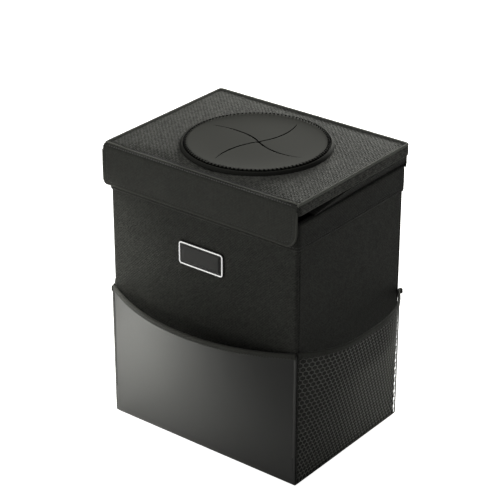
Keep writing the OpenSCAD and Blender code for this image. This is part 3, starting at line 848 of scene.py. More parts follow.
CLOTHS = (
    Cloth("lid_cloth", 2, 97, pitch=2.1, relief=1.0, grain=0.5),
    Cloth("flap_cloth", 38, 70, pitch=1.5, relief=0.25),
    Cloth("wall_cloth", 17, 65, pitch=1.3, relief=0.3, twill=0.7, grain=0.4),
    Cloth("rim_cloth", 12, 60, pitch=1.5, relief=0.35, grain=0.35),
    Cloth("net_cord", 66, 102, pitch=0.5, relief=0.05, rough=0.35, specular=0.8, use_uv=False),
    Cloth("binding_tape", 44, 68, pitch=0.8, relief=0.12),
    # much lighter than the lid's cloth: painted highlight along the lid's top edges and front fold
    Cloth("piping_tape", 92, 130, pitch=0.7, relief=0.08, use_uv=False),
    # lighter than the flap's cloth: painted highlight along the flap's rolled hem
    Cloth("hem_tape", 62, 86, pitch=0.7, relief=0.08, use_uv=False),
    Cloth("hook_loop", 18, 40, pitch=0.9, relief=0.4, rough=0.9, use_uv=False),
    Cloth("webbing", 22, 38, pitch=1.3, relief=0.3),
    Cloth("lining_cloth", 26, 38, pitch=1.0, relief=0.06, rough=0.5),
)
MOULDED = (
    Moulded("pocket_coating", 16, 20, rough=0.38, grain=0.02, specular=0.86, tint=(0.98, 1.0, 0.92)),
    Moulded("disc_rubber", 57, 62, rough=0.75, grain=0.03, specular=0.12, tint=(0.98, 1.0, 0.86)),
    # near-black painted shade for the slits' cut walls and the collar's groove
    Moulded("disc_painted_shade", 6, 10, rough=0.8, grain=0.05, specular=0.1),
    # darker grey than the rubber: painted shade on the bead's outer flank
    Moulded("disc_flank_painted_shade", 38, 44, rough=0.75, grain=0.03, specular=0.12, tint=(0.98, 1.0, 0.9)),
    Moulded("clamp_plastic", 24, 30, rough=0.5),
    # black of the disc's thread, which also paints the shade in the collar's notches
    Moulded("black_thread", 8, 16, rough=0.7, grain=0.05, grain_size=0.3, specular=0.2),
    Moulded("stiffener", 62, 70, rough=0.8, grain=0.1),
    Moulded("foam", 88, 100, rough=0.9, grain=0.3, grain_size=1.6),
    Moulded("label_black", 18, 22, rough=0.55, grain=0.02),
    # the white outline glows: painted light
    Moulded("label_white", 226, 236, rough=0.5, grain=0.02, glow=0.6),
    Moulded("buckle_plastic", 16, 22, rough=0.32, grain=0.03),
    Moulded("thread", 60, 88, rough=0.6, grain=0.05, grain_size=0.3),
    Moulded("light_thread", 84, 116, rough=0.6, grain=0.05, grain_size=0.3),
)


# ---------------------------------------------------------------- the bin's sub-assemblies


@dataclass
class Workshop:
    """What every sub-assembly needs: finishes, and a way to dress, fix and report a piece."""

    finishes: Finishes = field(default_factory=Finishes)

    def __post_init__(self) -> None:
        """Make every material."""
        for finish in CLOTHS + MOULDED:
            finish.build(self.finishes)

    def dress(self, piece: bpy.types.Object, finish: str | tuple[str, ...]) -> None:
        """Give a piece its material, or several that its faces already number.

        A piece without materials isn't cleared, because that would reset the faces' numbers.

        Args:
            piece: The object.
            finish: Name of its material, or names where its faces have several.
        """
        if piece.data.materials:
            piece.data.materials.clear()
        for name in (finish,) if isinstance(finish, str) else finish:
            piece.data.materials.append(self.finishes.made[name])

    def fit(self, piece: bpy.types.Object, finish: str | tuple[str, ...], body: Rides, slot: str,
            *nodes: str) -> None:
        """Dress a piece, fix it to a body and let it stand for CAD nodes.

        Args:
            piece: The new object.
            finish: Name of its material, or names where its faces have several.
            body: Body that it moves with.
            slot: The record's material slot; not used.
            nodes: CAD nodes that it stands for.
        """
        self.dress(piece, finish)
        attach(piece, body.value)
        if nodes:
            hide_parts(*nodes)
        LOG.info("%s: %d points, on %s", piece.name, len(piece.data.vertices), body.value)

    def bridge(self, piece: bpy.types.Object, finish: str, ends: tuple[Rides, Rides], start: tuple, end: tuple,
               slot: str, *nodes: str) -> None:
        """Dress a piece that lies between two bodies; it is fixed to neither.

        Args:
            piece: The new object.
            finish: Name of its material.
            ends: The two bodies.
            start: Point in millimetres where it follows the first body; not used.
            end: Point in millimetres where it follows the second body; not used.
            slot: The record's material slot; not used.
            nodes: CAD nodes that it stands for.
        """
        self.dress(piece, finish)
        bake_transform(piece)
        if nodes:
            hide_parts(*nodes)
        LOG.info("%s: %d points, from %s to %s", piece.name, len(piece.data.vertices), *(e.value for e in ends))


@dataclass
class Box:
    """The upright box: cloth walls, base, liner and the padded band round the mouth."""

    shop: Workshop
    width: float = 210.0
    depth: float = 160.0
    height: float = 260.0
    corner: float = 3.0
    cloth: float = 1.0
    wall: float = 3.6
    seam: float = 1.5
    seam_depth: float = 1.1
    lap: float = 0.7
    puff: float = 0.28
    press: float = 0.25
    soft_run: float = 25.0
    tray_corner: float = 1.2
    crease: float = 0.45
    hem_line: float = 238.4

    def wall_surface(self, half: float, reach: float, seed: int, wraps: bool) -> Array:
        """Middle surface of one wall, facing -Y before it is turned.

        The front and back walls wrap a quarter turn round the corners and end a little way along the
        sides. The side walls are flat and meet them there. Both dip into the seam between them.

        Args:
            half: Half the wall's length.
            reach: Distance of its outer face from the middle.
            seed: Seed of its unevenness.
            wraps: True for a wall that goes round the corners.

        Returns:
            Array (across, up, 3).
        """
        r = self.corner - self.cloth / 2
        flat = half - self.corner
        if wraps:
            turn = np.linspace(-math.pi / 2, 0, 11)
            arc = np.column_stack([-flat + r * np.sin(turn), r * np.cos(turn)])
            tail = np.column_stack([np.full(3, -flat - r), np.linspace(-self.lap, -0.1, 3)])
            run = np.column_stack([np.linspace(-flat, flat, 91)[1:-1], np.full(89, r)])
            plan = np.vstack([tail, arc, run, arc[::-1] * [-1, 1], tail[::-1] * [-1, 1]])
        else:
            fine = np.linspace(0, 2.4, 5)[:-1]
            run = np.concatenate([-flat + self.lap + fine, np.linspace(-flat + 3.2, flat - 3.2, 85),
                                  (flat - self.lap - fine)[::-1]])
            plan = np.column_stack([run, np.full(len(run), r)])
        along = path_length(plan)
        edge = np.minimum(along, along[-1] - along)
        dip = self.seam_depth * unit(1 - edge / self.seam) ** 2
        rise = np.linspace(0.5, self.height - 3, 111)
        s, z = np.meshgrid(along - along[-1] / 2, rise, indexing="ij")
        soft = unit(edge / self.soft_run)[:, None] * unit(z / self.soft_run)
        puff = self.puff * ripple(s, z, seed, 90) * soft - self.press * soft
        slope = np.gradient(plan, axis=0)
        normal = np.column_stack([-slope[:, 1], slope[:, 0]]) / np.linalg.norm(slope, axis=1, keepdims=True)
        shift = normal[:, None] * (puff - dip[:, None])[..., None]
        x = plan[:, :1] + shift[..., 0]
        y = -(reach - self.corner + plan[:, 1:] + shift[..., 1])
        return np.stack([x, y, z], axis=-1)

    def walls(self) -> None:
        """Four cloth walls, each its own panel, turned to its side of the box."""
        sides = (
            ("front_wall", "front_panel", self.width, self.depth, 0, "front_board"),
            ("right_wall", "right_panel", self.depth, self.width, 90, "right_board"),
            ("back_wall", "back_panel", self.width, self.depth, 180, "back_board"),
            ("left_wall", "left_panel", self.depth, self.width, 270, "left_board"),
        )
        for seed, (name, node, along, across, turn, board) in enumerate(sides):
            surface = turned(self.wall_surface(along / 2, across / 2, 40 + seed, turn % 180 == 0), turn)
            piece = thick_sheet(name, surface, self.cloth)
            self.shop.fit(piece, "wall_cloth", Rides.BIN, "body_cloth", node)

    def base(self) -> None:
        """Cloth under the box: rings from its middle out to the rounded outline, turned up at the edge."""
        outline = rounded_outline(self.width - 1.0, self.depth - 1.0, self.corner)
        share = np.concatenate([np.linspace(0, 0.97, 24), [0.985, 1.0]])
        plan = outline.points[:, None] * share[None, :, None]
        edge = np.linalg.norm(outline.points[:, None] - plan, axis=-1)
        z = 0.5 + 0.25 * unit(edge / 20) * (1 + ripple(plan[..., 0], plan[..., 1], 51, 60))
        surface = np.concatenate([plan, z[..., None]], axis=-1)
        piece = thick_sheet("base_cloth", surface[::-1], 0.9, wrap=True, pole=True, flat=plan[::-1])
        self.shop.fit(piece, "wall_cloth", Rides.BIN, "body_cloth", "bottom_panel")

    def liner(self) -> None:
        """Waterproof tray inside the boards: rings from the middle of its floor, out and up the walls."""
        inset = self.wall - 0.3
        outline = rounded_outline(self.width - 2 * inset, self.depth - 2 * inset, self.tray_corner, step=3.0,
                                  per_corner=6)
        floor = np.linspace(0, 0.96, 26)
        rise = np.linspace(0, self.height - 10, 90)
        out = np.concatenate([floor, [0.985, 0.996], np.full(len(rise), 1.0)])
        z = np.concatenate([np.full(len(floor), 3.3), [3.5, 4.2], rise + 5.2])
        plan = outline.points[:, None] * out[None, :, None]
        height = np.broadcast_to(z, plan.shape[:2])
        along = np.broadcast_to(outline.along[:, None], height.shape)
        crease = ripple(along, height, 61, 45) + 0.6 * ripple(along, height, 62, 16)
        soft = np.clip(height - 6, 0, 12) / 12 * np.clip(self.height - 14 - height, 0, 12) / 12
        inward = -outline.normals[:, None] * (self.crease * (1 + crease) * soft)[..., None]
        bulge = 0.3 * (1 + ripple(plan[..., 0], plan[..., 1], 63, 30)) * (out < 0.95)
        surface = np.concatenate([plan + inward, (height + bulge)[..., None]], axis=-1)
        piece = thick_sheet("liner_tray", surface, 0.5, wrap=True, pole=True)
        self.shop.fit(piece, "lining_cloth", Rides.BIN, "liner", "liner")

    def rim_profile(self) -> Array:
        """Middle line of the band: from its outer hem, up, over the wall's top and down inside."""
        knots = np.array([
            [0.35, 236.4], [0.95, 235.3], [1.2, 236.2], [1.22, 239], [1.25, 244], [1.25, 250], [1.2, 255],
            [1.05, 258.3], [0.3, 259.45], [-1.5, 259.5], [-3.2, 259.35], [-4.0, 258], [-4.05, 254], [-4.0, 250],
            [-4.0, 246.2],
        ])
        return smooth_path(knots, 60)

    def rim(self) -> None:
        """Padded band over the walls' tops, with a stitched line near its lower hem."""
        outline = rounded_outline(self.width, self.depth, self.corner + 0.4, step=2.5, per_corner=8)
        surface = swept_loop(outline, self.rim_profile())
        z = surface[..., 2]
        along = np.broadcast_to(outline.along[:, None], z.shape)
        wave = 0.14 * ripple(along, z, 71, 40) * unit((z - 238) / 6)
        groove = -0.22 * bell(z, self.hem_line, 0.5)
        shift = np.where(surface_side(surface, outline) > 0, wave + groove, 0.0)
        surface[..., :2] += outline.normals[:, None] * shift[..., None]
        piece = thick_sheet("rim_band_cloth", surface[::-1], 0.75, wrap=True, roll=0.6)
        self.shop.fit(piece, "rim_cloth", Rides.BIN, "body_cloth", "rim_band")
        line = outline.points + outline.normals * 1.55
        line = np.column_stack([line, np.full(len(line), self.hem_line)])
        line = np.vstack([line, line[:1]])
        normal = np.column_stack([outline.normals, np.zeros(len(outline.normals))])
        thread = stitches("rim_stitches", line, np.vstack([normal, normal[:1]]), thick=0.45)
        self.shop.fit(thread, "thread", Rides.BIN, "body_cloth")

    def build(self) -> None:
        """Make every piece of the box."""
        self.walls()
        self.base()
        self.liner()
        self.rim()


def turned(surface: Array, degrees: float) -> Array:
    """Turn points about the upright axis.

    Args:
        surface: Array (..., 3).
        degrees: Angle, anticlockwise as seen from above.

    Returns:
        The turned points.
    """
    a = math.radians(degrees)
    turn = np.array([[math.cos(a), -math.sin(a), 0], [math.sin(a), math.cos(a), 0], [0, 0, 1]])
    return surface @ turn.T


def surface_side(surface: Array, outline: Outline) -> Array:
    """How far a swept surface stands outside its outline."""
    return ((surface[..., :2] - outline.points[:, None]) * outline.normals[:, None]).sum(-1)


@dataclass
class Pocket:
    """One gaping pocket on a wall, facing -Y before it is turned: its bowed face and its bound top edge."""

    shop: Workshop
    name: str
    reach: float
    half: float
    bow: float
    power: float
    turn: float
    hem: float = 1.6
    hem_width: float = 3.0
    top: float = 135.6
    dip: float = 2.2
    low: float = 1.0
    ear_run: float = 7.0

    def share(self, s: Array, power: float) -> Array:
        """How full the pocket is at s along the wall, from 0 at the hems to 1 midway."""
        free = self.half - self.hem_width
        return unit(1 - unit(np.abs(s) / free) ** power)

    def top_at(self, s: Array) -> Array:
        """Height of the top edge at s along the wall."""
        return self.top - self.dip * self.share(s, 2)

    def face(self, s: Array, z: Array) -> Array:
        """Distance of the pocket's outer face from the middle of the box: it leans out in a straight line."""
        lean = self.bow * self.share(s, self.power) * (z - self.low) / (self.top - self.low)
        return self.reach + self.hem + lean

    def spread(self, count: int) -> Array:
        """Places along the wall, closer together towards the hems.

        Args:
            count: Number of places between the hems.

        Returns:
            Array of distances from the wall's middle.
        """
        free = self.half - self.hem_width
        middle = -free * np.cos(np.linspace(0, math.pi, count))
        ends = np.linspace(0, self.hem_width, 5)[1:]
        return np.concatenate([-free - ends[::-1], middle, free + ends])

    def edge_line(self, s: Array, lower: float, out: float) -> Array:
        """Points along the pocket at a distance below its top edge."""
        z = self.top_at(s) - lower
        return turned(np.column_stack([s, -(self.face(s, z) + out), z]), self.turn)

    def outward(self, s: Array) -> Array:
        """Outward direction of the top edge in plan.

        Args:
            s: Places along the wall.

        Returns:
            Array (n, 3) of unit vectors.
        """
        slope = np.gradient(self.face(s, self.top_at(s)), s)
        normal = np.column_stack([-slope, -np.ones(len(s)), np.zeros(len(s))])
        return turned(normal / np.linalg.norm(normal, axis=1, keepdims=True), self.turn)

    def binding(self, slot: str, node: str, ears: tuple[float, float]) -> None:
        """Binding tape folded over the top edge: a narrow arch carried along it.

        At each end the tape can stand away from the corner as a small ear.

        Args:
            slot: The record's material slot.
            node: CAD node that it stands for.
            ears: How far the tape stands off at its two ends.
        """
        s = self.spread(90)
        s = s[np.abs(s) < self.half - 0.6]
        z_top = self.top_at(s)
        arch = smooth_path(np.array([
            [0.62, -4.6], [0.72, -3.9], [0.66, -2.2], [0.62, -0.7], [0.35, 0.25], [-0.5, 0.55], [-1.35, 0.25],
            [-1.62, -0.7], [-1.66, -2.2], [-1.72, -3.9], [-1.62, -4.6]]), 30)
        z = z_top[:, None] + arch[None, :, 1]
        away = self.face(s, z_top)[:, None] + arch[None, :, 0]
        lean = (self.bow * self.share(s, self.power) / (self.top - self.low))[:, None]
        away = away + lean * arch[None, :, 1]
        from_left = unit(1 - (s + self.half) / self.ear_run)
        from_right = unit(1 - (self.half - s) / self.ear_run)
        stand = ears[0] * from_left**2 + ears[1] * from_right**2
        surface = np.stack([np.broadcast_to(s[:, None], z.shape), -(away + stand[:, None]), z], axis=-1)
        piece = thick_sheet(f"{self.name}_tape", turned(surface[:, ::-1], self.turn), 0.45, roll=0.3)
        self.shop.fit(piece, "binding_tape", Rides.BIN, slot, node)
        inside = s[np.abs(s) < self.half - 4]
        thread = stitches(f"{self.name}_tape_stitches", self.edge_line(inside, 3.6, 0.95), self.outward(inside),
                          pitch=2.6, long=1.9, thick=0.42)
        self.shop.fit(thread, "thread", Rides.BIN, slot)


@dataclass
class FrontPocket(Pocket):
    """The plain front pocket of smooth coated sheet."""

    def build(self) -> None:
        """Make the sheet, drawn in along its foot, and its binding."""
        s = self.spread(140)
        rise = np.linspace(0, 1, 70)
        z = self.low + 0.3 + (self.top_at(s)[:, None] - self.low - 0.6) * rise[None]
        face = self.face(s[:, None], z) - 0.5
        foot = np.exp(-((z - self.low) / 3.0)) * 0.5
        face = face - foot + 0.25 * ripple(s[:, None], z, 83, 110) * self.share(s[:, None], 2)
        surface = np.stack([np.broadcast_to(s[:, None], z.shape), -face, z], axis=-1)
        piece = thick_sheet(f"{self.name}_sheet", surface[:, ::-1], 0.9)
        self.shop.fit(piece, "pocket_coating", Rides.BIN, "pocket_sheet", "front_pocket")
        girth = path_length(self.edge_line(s, 0, 0))[-1]
        self.binding("binding", "front_pocket_binding", (1.2, 0.0))


@dataclass
class NetPocket(Pocket):
    """A side pocket of knitted net with small six-sided meshes."""

    pitch: float = 4.7
    cord: float = 0.18
    cord_height: float = 0.7

    def lattice(self) -> tuple[Array, Array]:
        """Cords of a flat honeycomb: each mesh has a crest ring on its border and one ring at its hole.

        The crest ring lies on the cell's border, raised in front and behind, and the hole's ring lies
        inside it midway, so that each cord between two meshes is a rounded ridge on both faces.

        Returns:
            Points as (along, up, out) and quads.
        """
        wide, tall = self.pitch, self.pitch * 1.2
        row_step = tall * 0.75
        columns = int((2 * self.half - 2) / wide)
        rows = int((self.top - self.dip - 5) / row_step)
        i, j = np.meshgrid(np.arange(columns), np.arange(rows), indexing="ij")
        centre_s = (i - (columns - 1) / 2 + np.where(j % 2, 0.25, -0.25)) * wide
        centre_z = self.low + 0.8 + tall / 2 + j * row_step
        centres = np.stack([centre_s.ravel(), centre_z.ravel()], axis=-1)
        turn = np.radians(np.arange(6) * 60 + 30)
        border = np.column_stack([np.cos(turn) * wide / math.sqrt(3), np.sin(turn) * tall / 2])
        hole = border * (1 - self.cord)
        lift = self.cord_height / 2
        between = hole * 1.12
        layers = [(border, lift), (between, lift * 0.72), (hole, 0.0), (between, -lift * 0.72), (border, -lift)]
        rings = [np.concatenate([centres[:, None] + ring[None], np.full((len(centres), 6, 1), out)], axis=-1)
                 for ring, out in layers]
        points = np.stack(rings, axis=1).transpose(0, 2, 1, 3).reshape(-1, 3)
        return points, repeated(grid_faces(6, len(layers), True), len(centres), 6 * len(layers))

    def build(self) -> None:
        """Bend the net onto the pocket's bowed face and add its hems and binding."""
        flat, faces = self.lattice()
        s, z, out = flat.T
        key = np.round(flat * 200).astype(np.int64)
        _, keep, where = np.unique(key, axis=0, return_index=True, return_inverse=True)
        s, z, out = s[keep], z[keep], out[keep]
        z = np.minimum(z, self.top_at(s) - 0.8)
        s = np.clip(s, -self.half + 0.6, self.half - 0.6)
        face = self.face(s, z) - 0.5 + out
        bent = turned(np.column_stack([s, -face, z]), self.turn)
        net = make_mesh(f"{self.name}_sheet", bent, where.ravel()[faces])
        self.shop.fit(net, "net_cord", Rides.BIN, "net", self.node())
        girth = path_length(self.edge_line(np.linspace(-self.half, self.half, 60), 0, 0))[-1]
        self.hems()
        ears = (0.0, 2.7) if self.turn == 90 else (2.7, 0.0)
        self.binding("binding", f"{self.name}_binding", ears)

    def node(self) -> str:
        """CAD node of the net."""
        return self.name.replace("_pocket", "_net_pocket")

    def hems(self) -> None:
        """Narrow cloth hems that hold the net along its foot and both upright edges."""
        z = np.linspace(self.low, self.top - 1.5, 60)
        wide = np.linspace(0, 1, 9)
        for side, tag in ((-1, "a"), (1, "b")):
            s = side * (self.half - 0.4 - 1.7 * wide)
            ss, zz = np.meshgrid(s, z, indexing="ij")
            face = self.face(ss, zz) - 0.35 - 0.5 * (unit(1 - wide * 4) ** 2)[:, None]
            grid = np.stack([ss, -face, zz], axis=-1)
            grid = grid[:, ::-1] if side < 0 else grid
            self.strip(grid, f"{self.name}_hem_{tag}")
        s = np.linspace(-self.half + 0.8, self.half - 0.8, 110)
        up = np.linspace(self.low - 0.2, self.low + 1.8, 7)
        ss, zz = np.meshgrid(s, up, indexing="ij")
        face = self.face(ss, zz) - 0.2 - 0.4 * np.exp(-(zz - self.low) / 0.8)
        self.strip(np.stack([ss, -face, zz], axis=-1)[:, ::-1], f"{self.name}_foot_hem")

    def strip(self, grid: Array, name: str) -> None:
        """Make one hem strip."""
        piece = thick_sheet(name, turned(grid, self.turn), 0.7, roll=0.6)
        self.shop.fit(piece, "rim_cloth", Rides.BIN, "net")


@dataclass
class Label:
    """Bare moulded plate with a raised outline on the front wall."""

    shop: Workshop
    width: float = 51.5
    height: float = 23.8
    radius: float = 4.0
    middle: float = 196.0
    wall: float = 80.0
    line_inset: float = 1.6

    def place(self, plan: Array, out: Array) -> Array:
        """Stand a plan drawing upright on the front wall."""
        away = self.wall + np.broadcast_to(out, plan.shape[:-1])
        return np.stack([plan[..., 0], -away, self.middle + plan[..., 1]], axis=-1)

    def build(self) -> None:
        """Make the plate, domed a little with a rounded edge, and the outline ring on it, whose white glows as
        painted light.
        """
        outline = rounded_outline(self.width, self.height, self.radius, step=1.5, per_corner=12)
        inset = np.array([0, 0.05, 0.2, 0.5, 1.0, 2.0, 4.0, 8.0])
        level = np.array([-0.3, 0.7, 1.0, 1.15, 1.2, 1.22, 1.24, 1.26])
        inset = np.minimum(inset, self.radius - 0.2)
        rings = outline.points[:, None] - outline.normals[:, None] * inset[None, :, None]
        shrink = np.linspace(1, 0, 8)[None, :, None]
        inner = rings[:, -1:, :] * shrink[:, 1:]
        plan = np.concatenate([rings, inner], axis=1)[:, ::-1]
        out = np.concatenate([level, np.full(7, 1.28)])[::-1]
        plate = thick_sheet("label_body", self.place(plan, out[None]), 0.02, wrap=True, pole=True)
        self.shop.fit(plate, "label_black", Rides.BIN, "label_black", "label_plate")
        edge = self.line_inset
        ring = rounded_outline(self.width - 2 * edge, self.height - 2 * edge, self.radius - edge, step=1.5,
                               per_corner=12)
        across = np.array([-0.62, -0.58, -0.4, 0.0, 0.4, 0.58, 0.62])
        ridge = np.array([1.1, 1.38, 1.5, 1.55, 1.5, 1.38, 1.1])
        plan = ring.points[:, None] + ring.normals[:, None] * across[None, :, None]
        line = thick_sheet("label_ring", self.place(plan, ridge[None]), 0.02, wrap=True)
        self.shop.fit(line, "label_white", Rides.BIN, "label_white", "label_outline")


@dataclass
class Lid:
    """The padded lid: top cover with its skirts, piping, underside lining and seam stitches."""

    shop: Workshop
    width: float = 217.0
    depth: float = 166.0
    low: float = 269.0
    high: float = 280.0
    corner: float = 4.0
    disc: tuple[float, float] = (2.0, -3.0)
    hole: float = 61.6
    fall: float = 1.2
    fall_from: float = 63.0
    crown: float = 0.9
    crown_run: float = 9.0
    piping_thin: float = 0.9
    piping_swell: float = 0.45
    piping_sink: float = 0.7
    piping_run: float = 6.0

    def level(self, x: Array | float, y: Array | float) -> Array:
        """Height of the lid's top seam line, which sags a little along the front between its corners."""
        between = 1 - ease((np.abs(x) - 72) / 34)
        return self.high - self.fall * ease((-np.asarray(y) - self.fall_from) / 18) * between

    def outline(self) -> Outline:
        """Outline of the lid in plan."""
        return rounded_outline(self.width, self.depth, self.corner, step=2.0, per_corner=12)

    def rings(self, outline: Outline, share: Array, inset: float) -> Array:
        """Plan rings from the disc's hole out to the outline, on lines that keep their direction.

        Args:
            outline: Outline of the lid.
            share: 0 at the hole and 1 at the outline.
            inset: Distance inside the outline of the last ring.

        Returns:
            Array (outline points, rings, 2).
        """
        outer = outline.points - outline.normals * inset
        spoke = outer - self.disc
        inner = self.disc + self.hole * spoke / np.linalg.norm(spoke, axis=1, keepdims=True)
        return inner[:, None] + (outer - inner)[:, None] * share[None, :, None]

    def cover(self) -> None:
        """Top cloth over foam: softly crowned, drawn down at the seam, then down the skirt and under."""
        outline = self.outline()
        share = 1 - (1 - np.linspace(0, 1, 46)) ** 1.25
        top = self.rings(outline, share, 1.6)
        edge = np.linalg.norm(top - top[:, -1:], axis=-1) + 1.6
        inner = np.linalg.norm(top - np.array(self.disc), axis=-1) - self.hole
        crown = self.crown * (1 - np.exp(-edge / self.crown_run))
        crown += 0.12 * ripple(top[..., 0], top[..., 1], 91, 38)
        z = self.level(top[..., 0], top[..., 1]) - 0.75 + crown * np.clip(inner / 12, 0.3, 1)
        front = unit((-top[..., 1] - 60) / 20)
        z -= 0.5 * bell(edge, 4.2, 0.9) * front
        skirt = smooth_path(np.array([
            [-1.6, -0.7], [-0.9, -0.85], [-0.45, -1.6], [-0.35, -4], [-0.3, -7], [-0.45, -9.6], [-1.0, -10.7],
            [-2.2, -10.8], [-5.5, -10.6]]), 30)[1:]
        side = swept_loop(outline, skirt + [0, self.high])
        sink = (self.high - self.level(*outline.points.T))[:, None]
        side[..., 2] -= sink * unit(1 + skirt[None, :, 1] / 6)
        surface = np.concatenate([np.concatenate([top, z[..., None]], axis=-1), side], axis=1)
        down = path_length(skirt) + 0.7
        laid = np.concatenate([top, top[:, -1:] + outline.normals[:, None] * down[None, :, None]], axis=1)
        piece = thick_sheet("lid_cloth_cover", surface, 0.7, wrap=True, roll=0.4, flat=laid)
        self.shop.fit(piece, "lid_cloth", Rides.LID, "lid_cloth", "lid_cover")

    def underside(self) -> None:
        """Lining under the lid: rings from the clamp ring out to the turned skirt, slightly sagging."""
        outline = self.outline()
        share = np.linspace(0, 1, 40)
        plan = self.rings(outline, share, 3.2)
        edge = np.linalg.norm(plan - plan[:, -1:], axis=-1)
        z = self.low + 0.35 + 0.25 * ripple(plan[..., 0], plan[..., 1], 95, 30) * unit(edge / 10)
        z = z - 0.25 * unit(edge / 20)
        surface = np.concatenate([plan, z[..., None]], axis=-1)
        piece = thick_sheet("lid_lining_cloth", surface[::-1], 0.5, wrap=True, flat=plan[::-1])
        self.shop.fit(piece, "lining_cloth", Rides.LID, "liner", "lid_lining")

    def edge_path(self, inset: float, lift: float, stop: float) -> Array:
        """Path round the left, back and right edges of the lid, open at the front.

        Args:
            inset: Distance inside the outline.
            lift: Height over the seam line.
            stop: Distance from the front edge at which both ends stop.

        Returns:
            Array (n, 3).
        """
        outline = self.outline()
        points = outline.points - outline.normals * inset
        y = points[:, 1] + self.depth / 2 - stop
        start = int(np.argmin(np.hypot(points[:, 0] - self.width / 2 + inset, y)))
        end = int(np.argmin(np.hypot(points[:, 0] + self.width / 2 - inset, y)))
        chain = np.vstack([points[start:], points[:end + 1]])
        return np.column_stack([chain, self.level(*chain.T) + lift])

    def piping(self) -> None:
        """Piping along three top edges, lighter than the lid's cloth as a painted highlight: near the front
        corners it gets thinner and sinks into the cloth.
        """
        path = self.edge_path(inset=1.3, lift=-0.2, stop=2)
        tip = np.array([self.width / 2 - 1.2, -self.depth / 2 - 1.0, self.high - 0.3])
        share = np.linspace(0, 1, 6)[1:, None]
        first = path[0] + (tip - path[0]) * share[::-1]
        last = path[-1] + (tip * [-1, 1, 1] - path[-1]) * share
        path = np.vstack([first, path, last])
        along = path_length(path)
        full = ease(np.minimum(along, along[-1] - along) / self.piping_run)
        path = path - np.array([0.0, 0.0, self.piping_sink]) * (1 - full)[:, None]
        piece = tube("lid_edge_piping", path, self.piping_thin + self.piping_swell * full, 14)
        self.shop.fit(piece, "piping_tape", Rides.LID, "binding", "lid_piping")

    def front_fold(self) -> None:
        """Thinner fold along the front edge, between the two ends of the piping, in the piping's lighter finish, a
        painted highlight.
        """
        near, far = self.width / 2 - 4.5, self.width / 2 - 8
        line = smooth_path(np.array([[-near, 1.9], [-far, 2.1], [0, 2.1], [far, 2.1], [near, 1.9]]), 160)
        ahead = line[:, 1] - self.depth / 2
        fold = np.column_stack([line[:, 0], ahead, self.level(line[:, 0], ahead) - 0.05])
        self.shop.fit(tube("lid_front_fold", fold, 0.85), "piping_tape", Rides.LID, "lid_cloth")

    def threads(self) -> None:
        """Stitches of the top seams: inside the piping, and straight along the front."""
        seam = self.edge_path(inset=3.6, lift=0.05, stop=6)
        self.shop.fit(stitches("lid_top_stitches", seam, UPWARDS, thick=0.42), "thread", Rides.LID, "lid_cloth")
        x = np.linspace(-101, 101, 80)
        y = -self.depth / 2 + 6.2
        front = np.column_stack([x, np.full(len(x), y), self.level(x, y) + 0.12])
        self.shop.fit(stitches("lid_front_stitches", front, UPWARDS, thick=0.45), "thread", Rides.LID, "lid_cloth")

    def build(self) -> None:
        """Make every cloth piece of the lid."""
        self.cover()
        self.underside()
        self.piping()
        self.front_fold()
        self.threads()


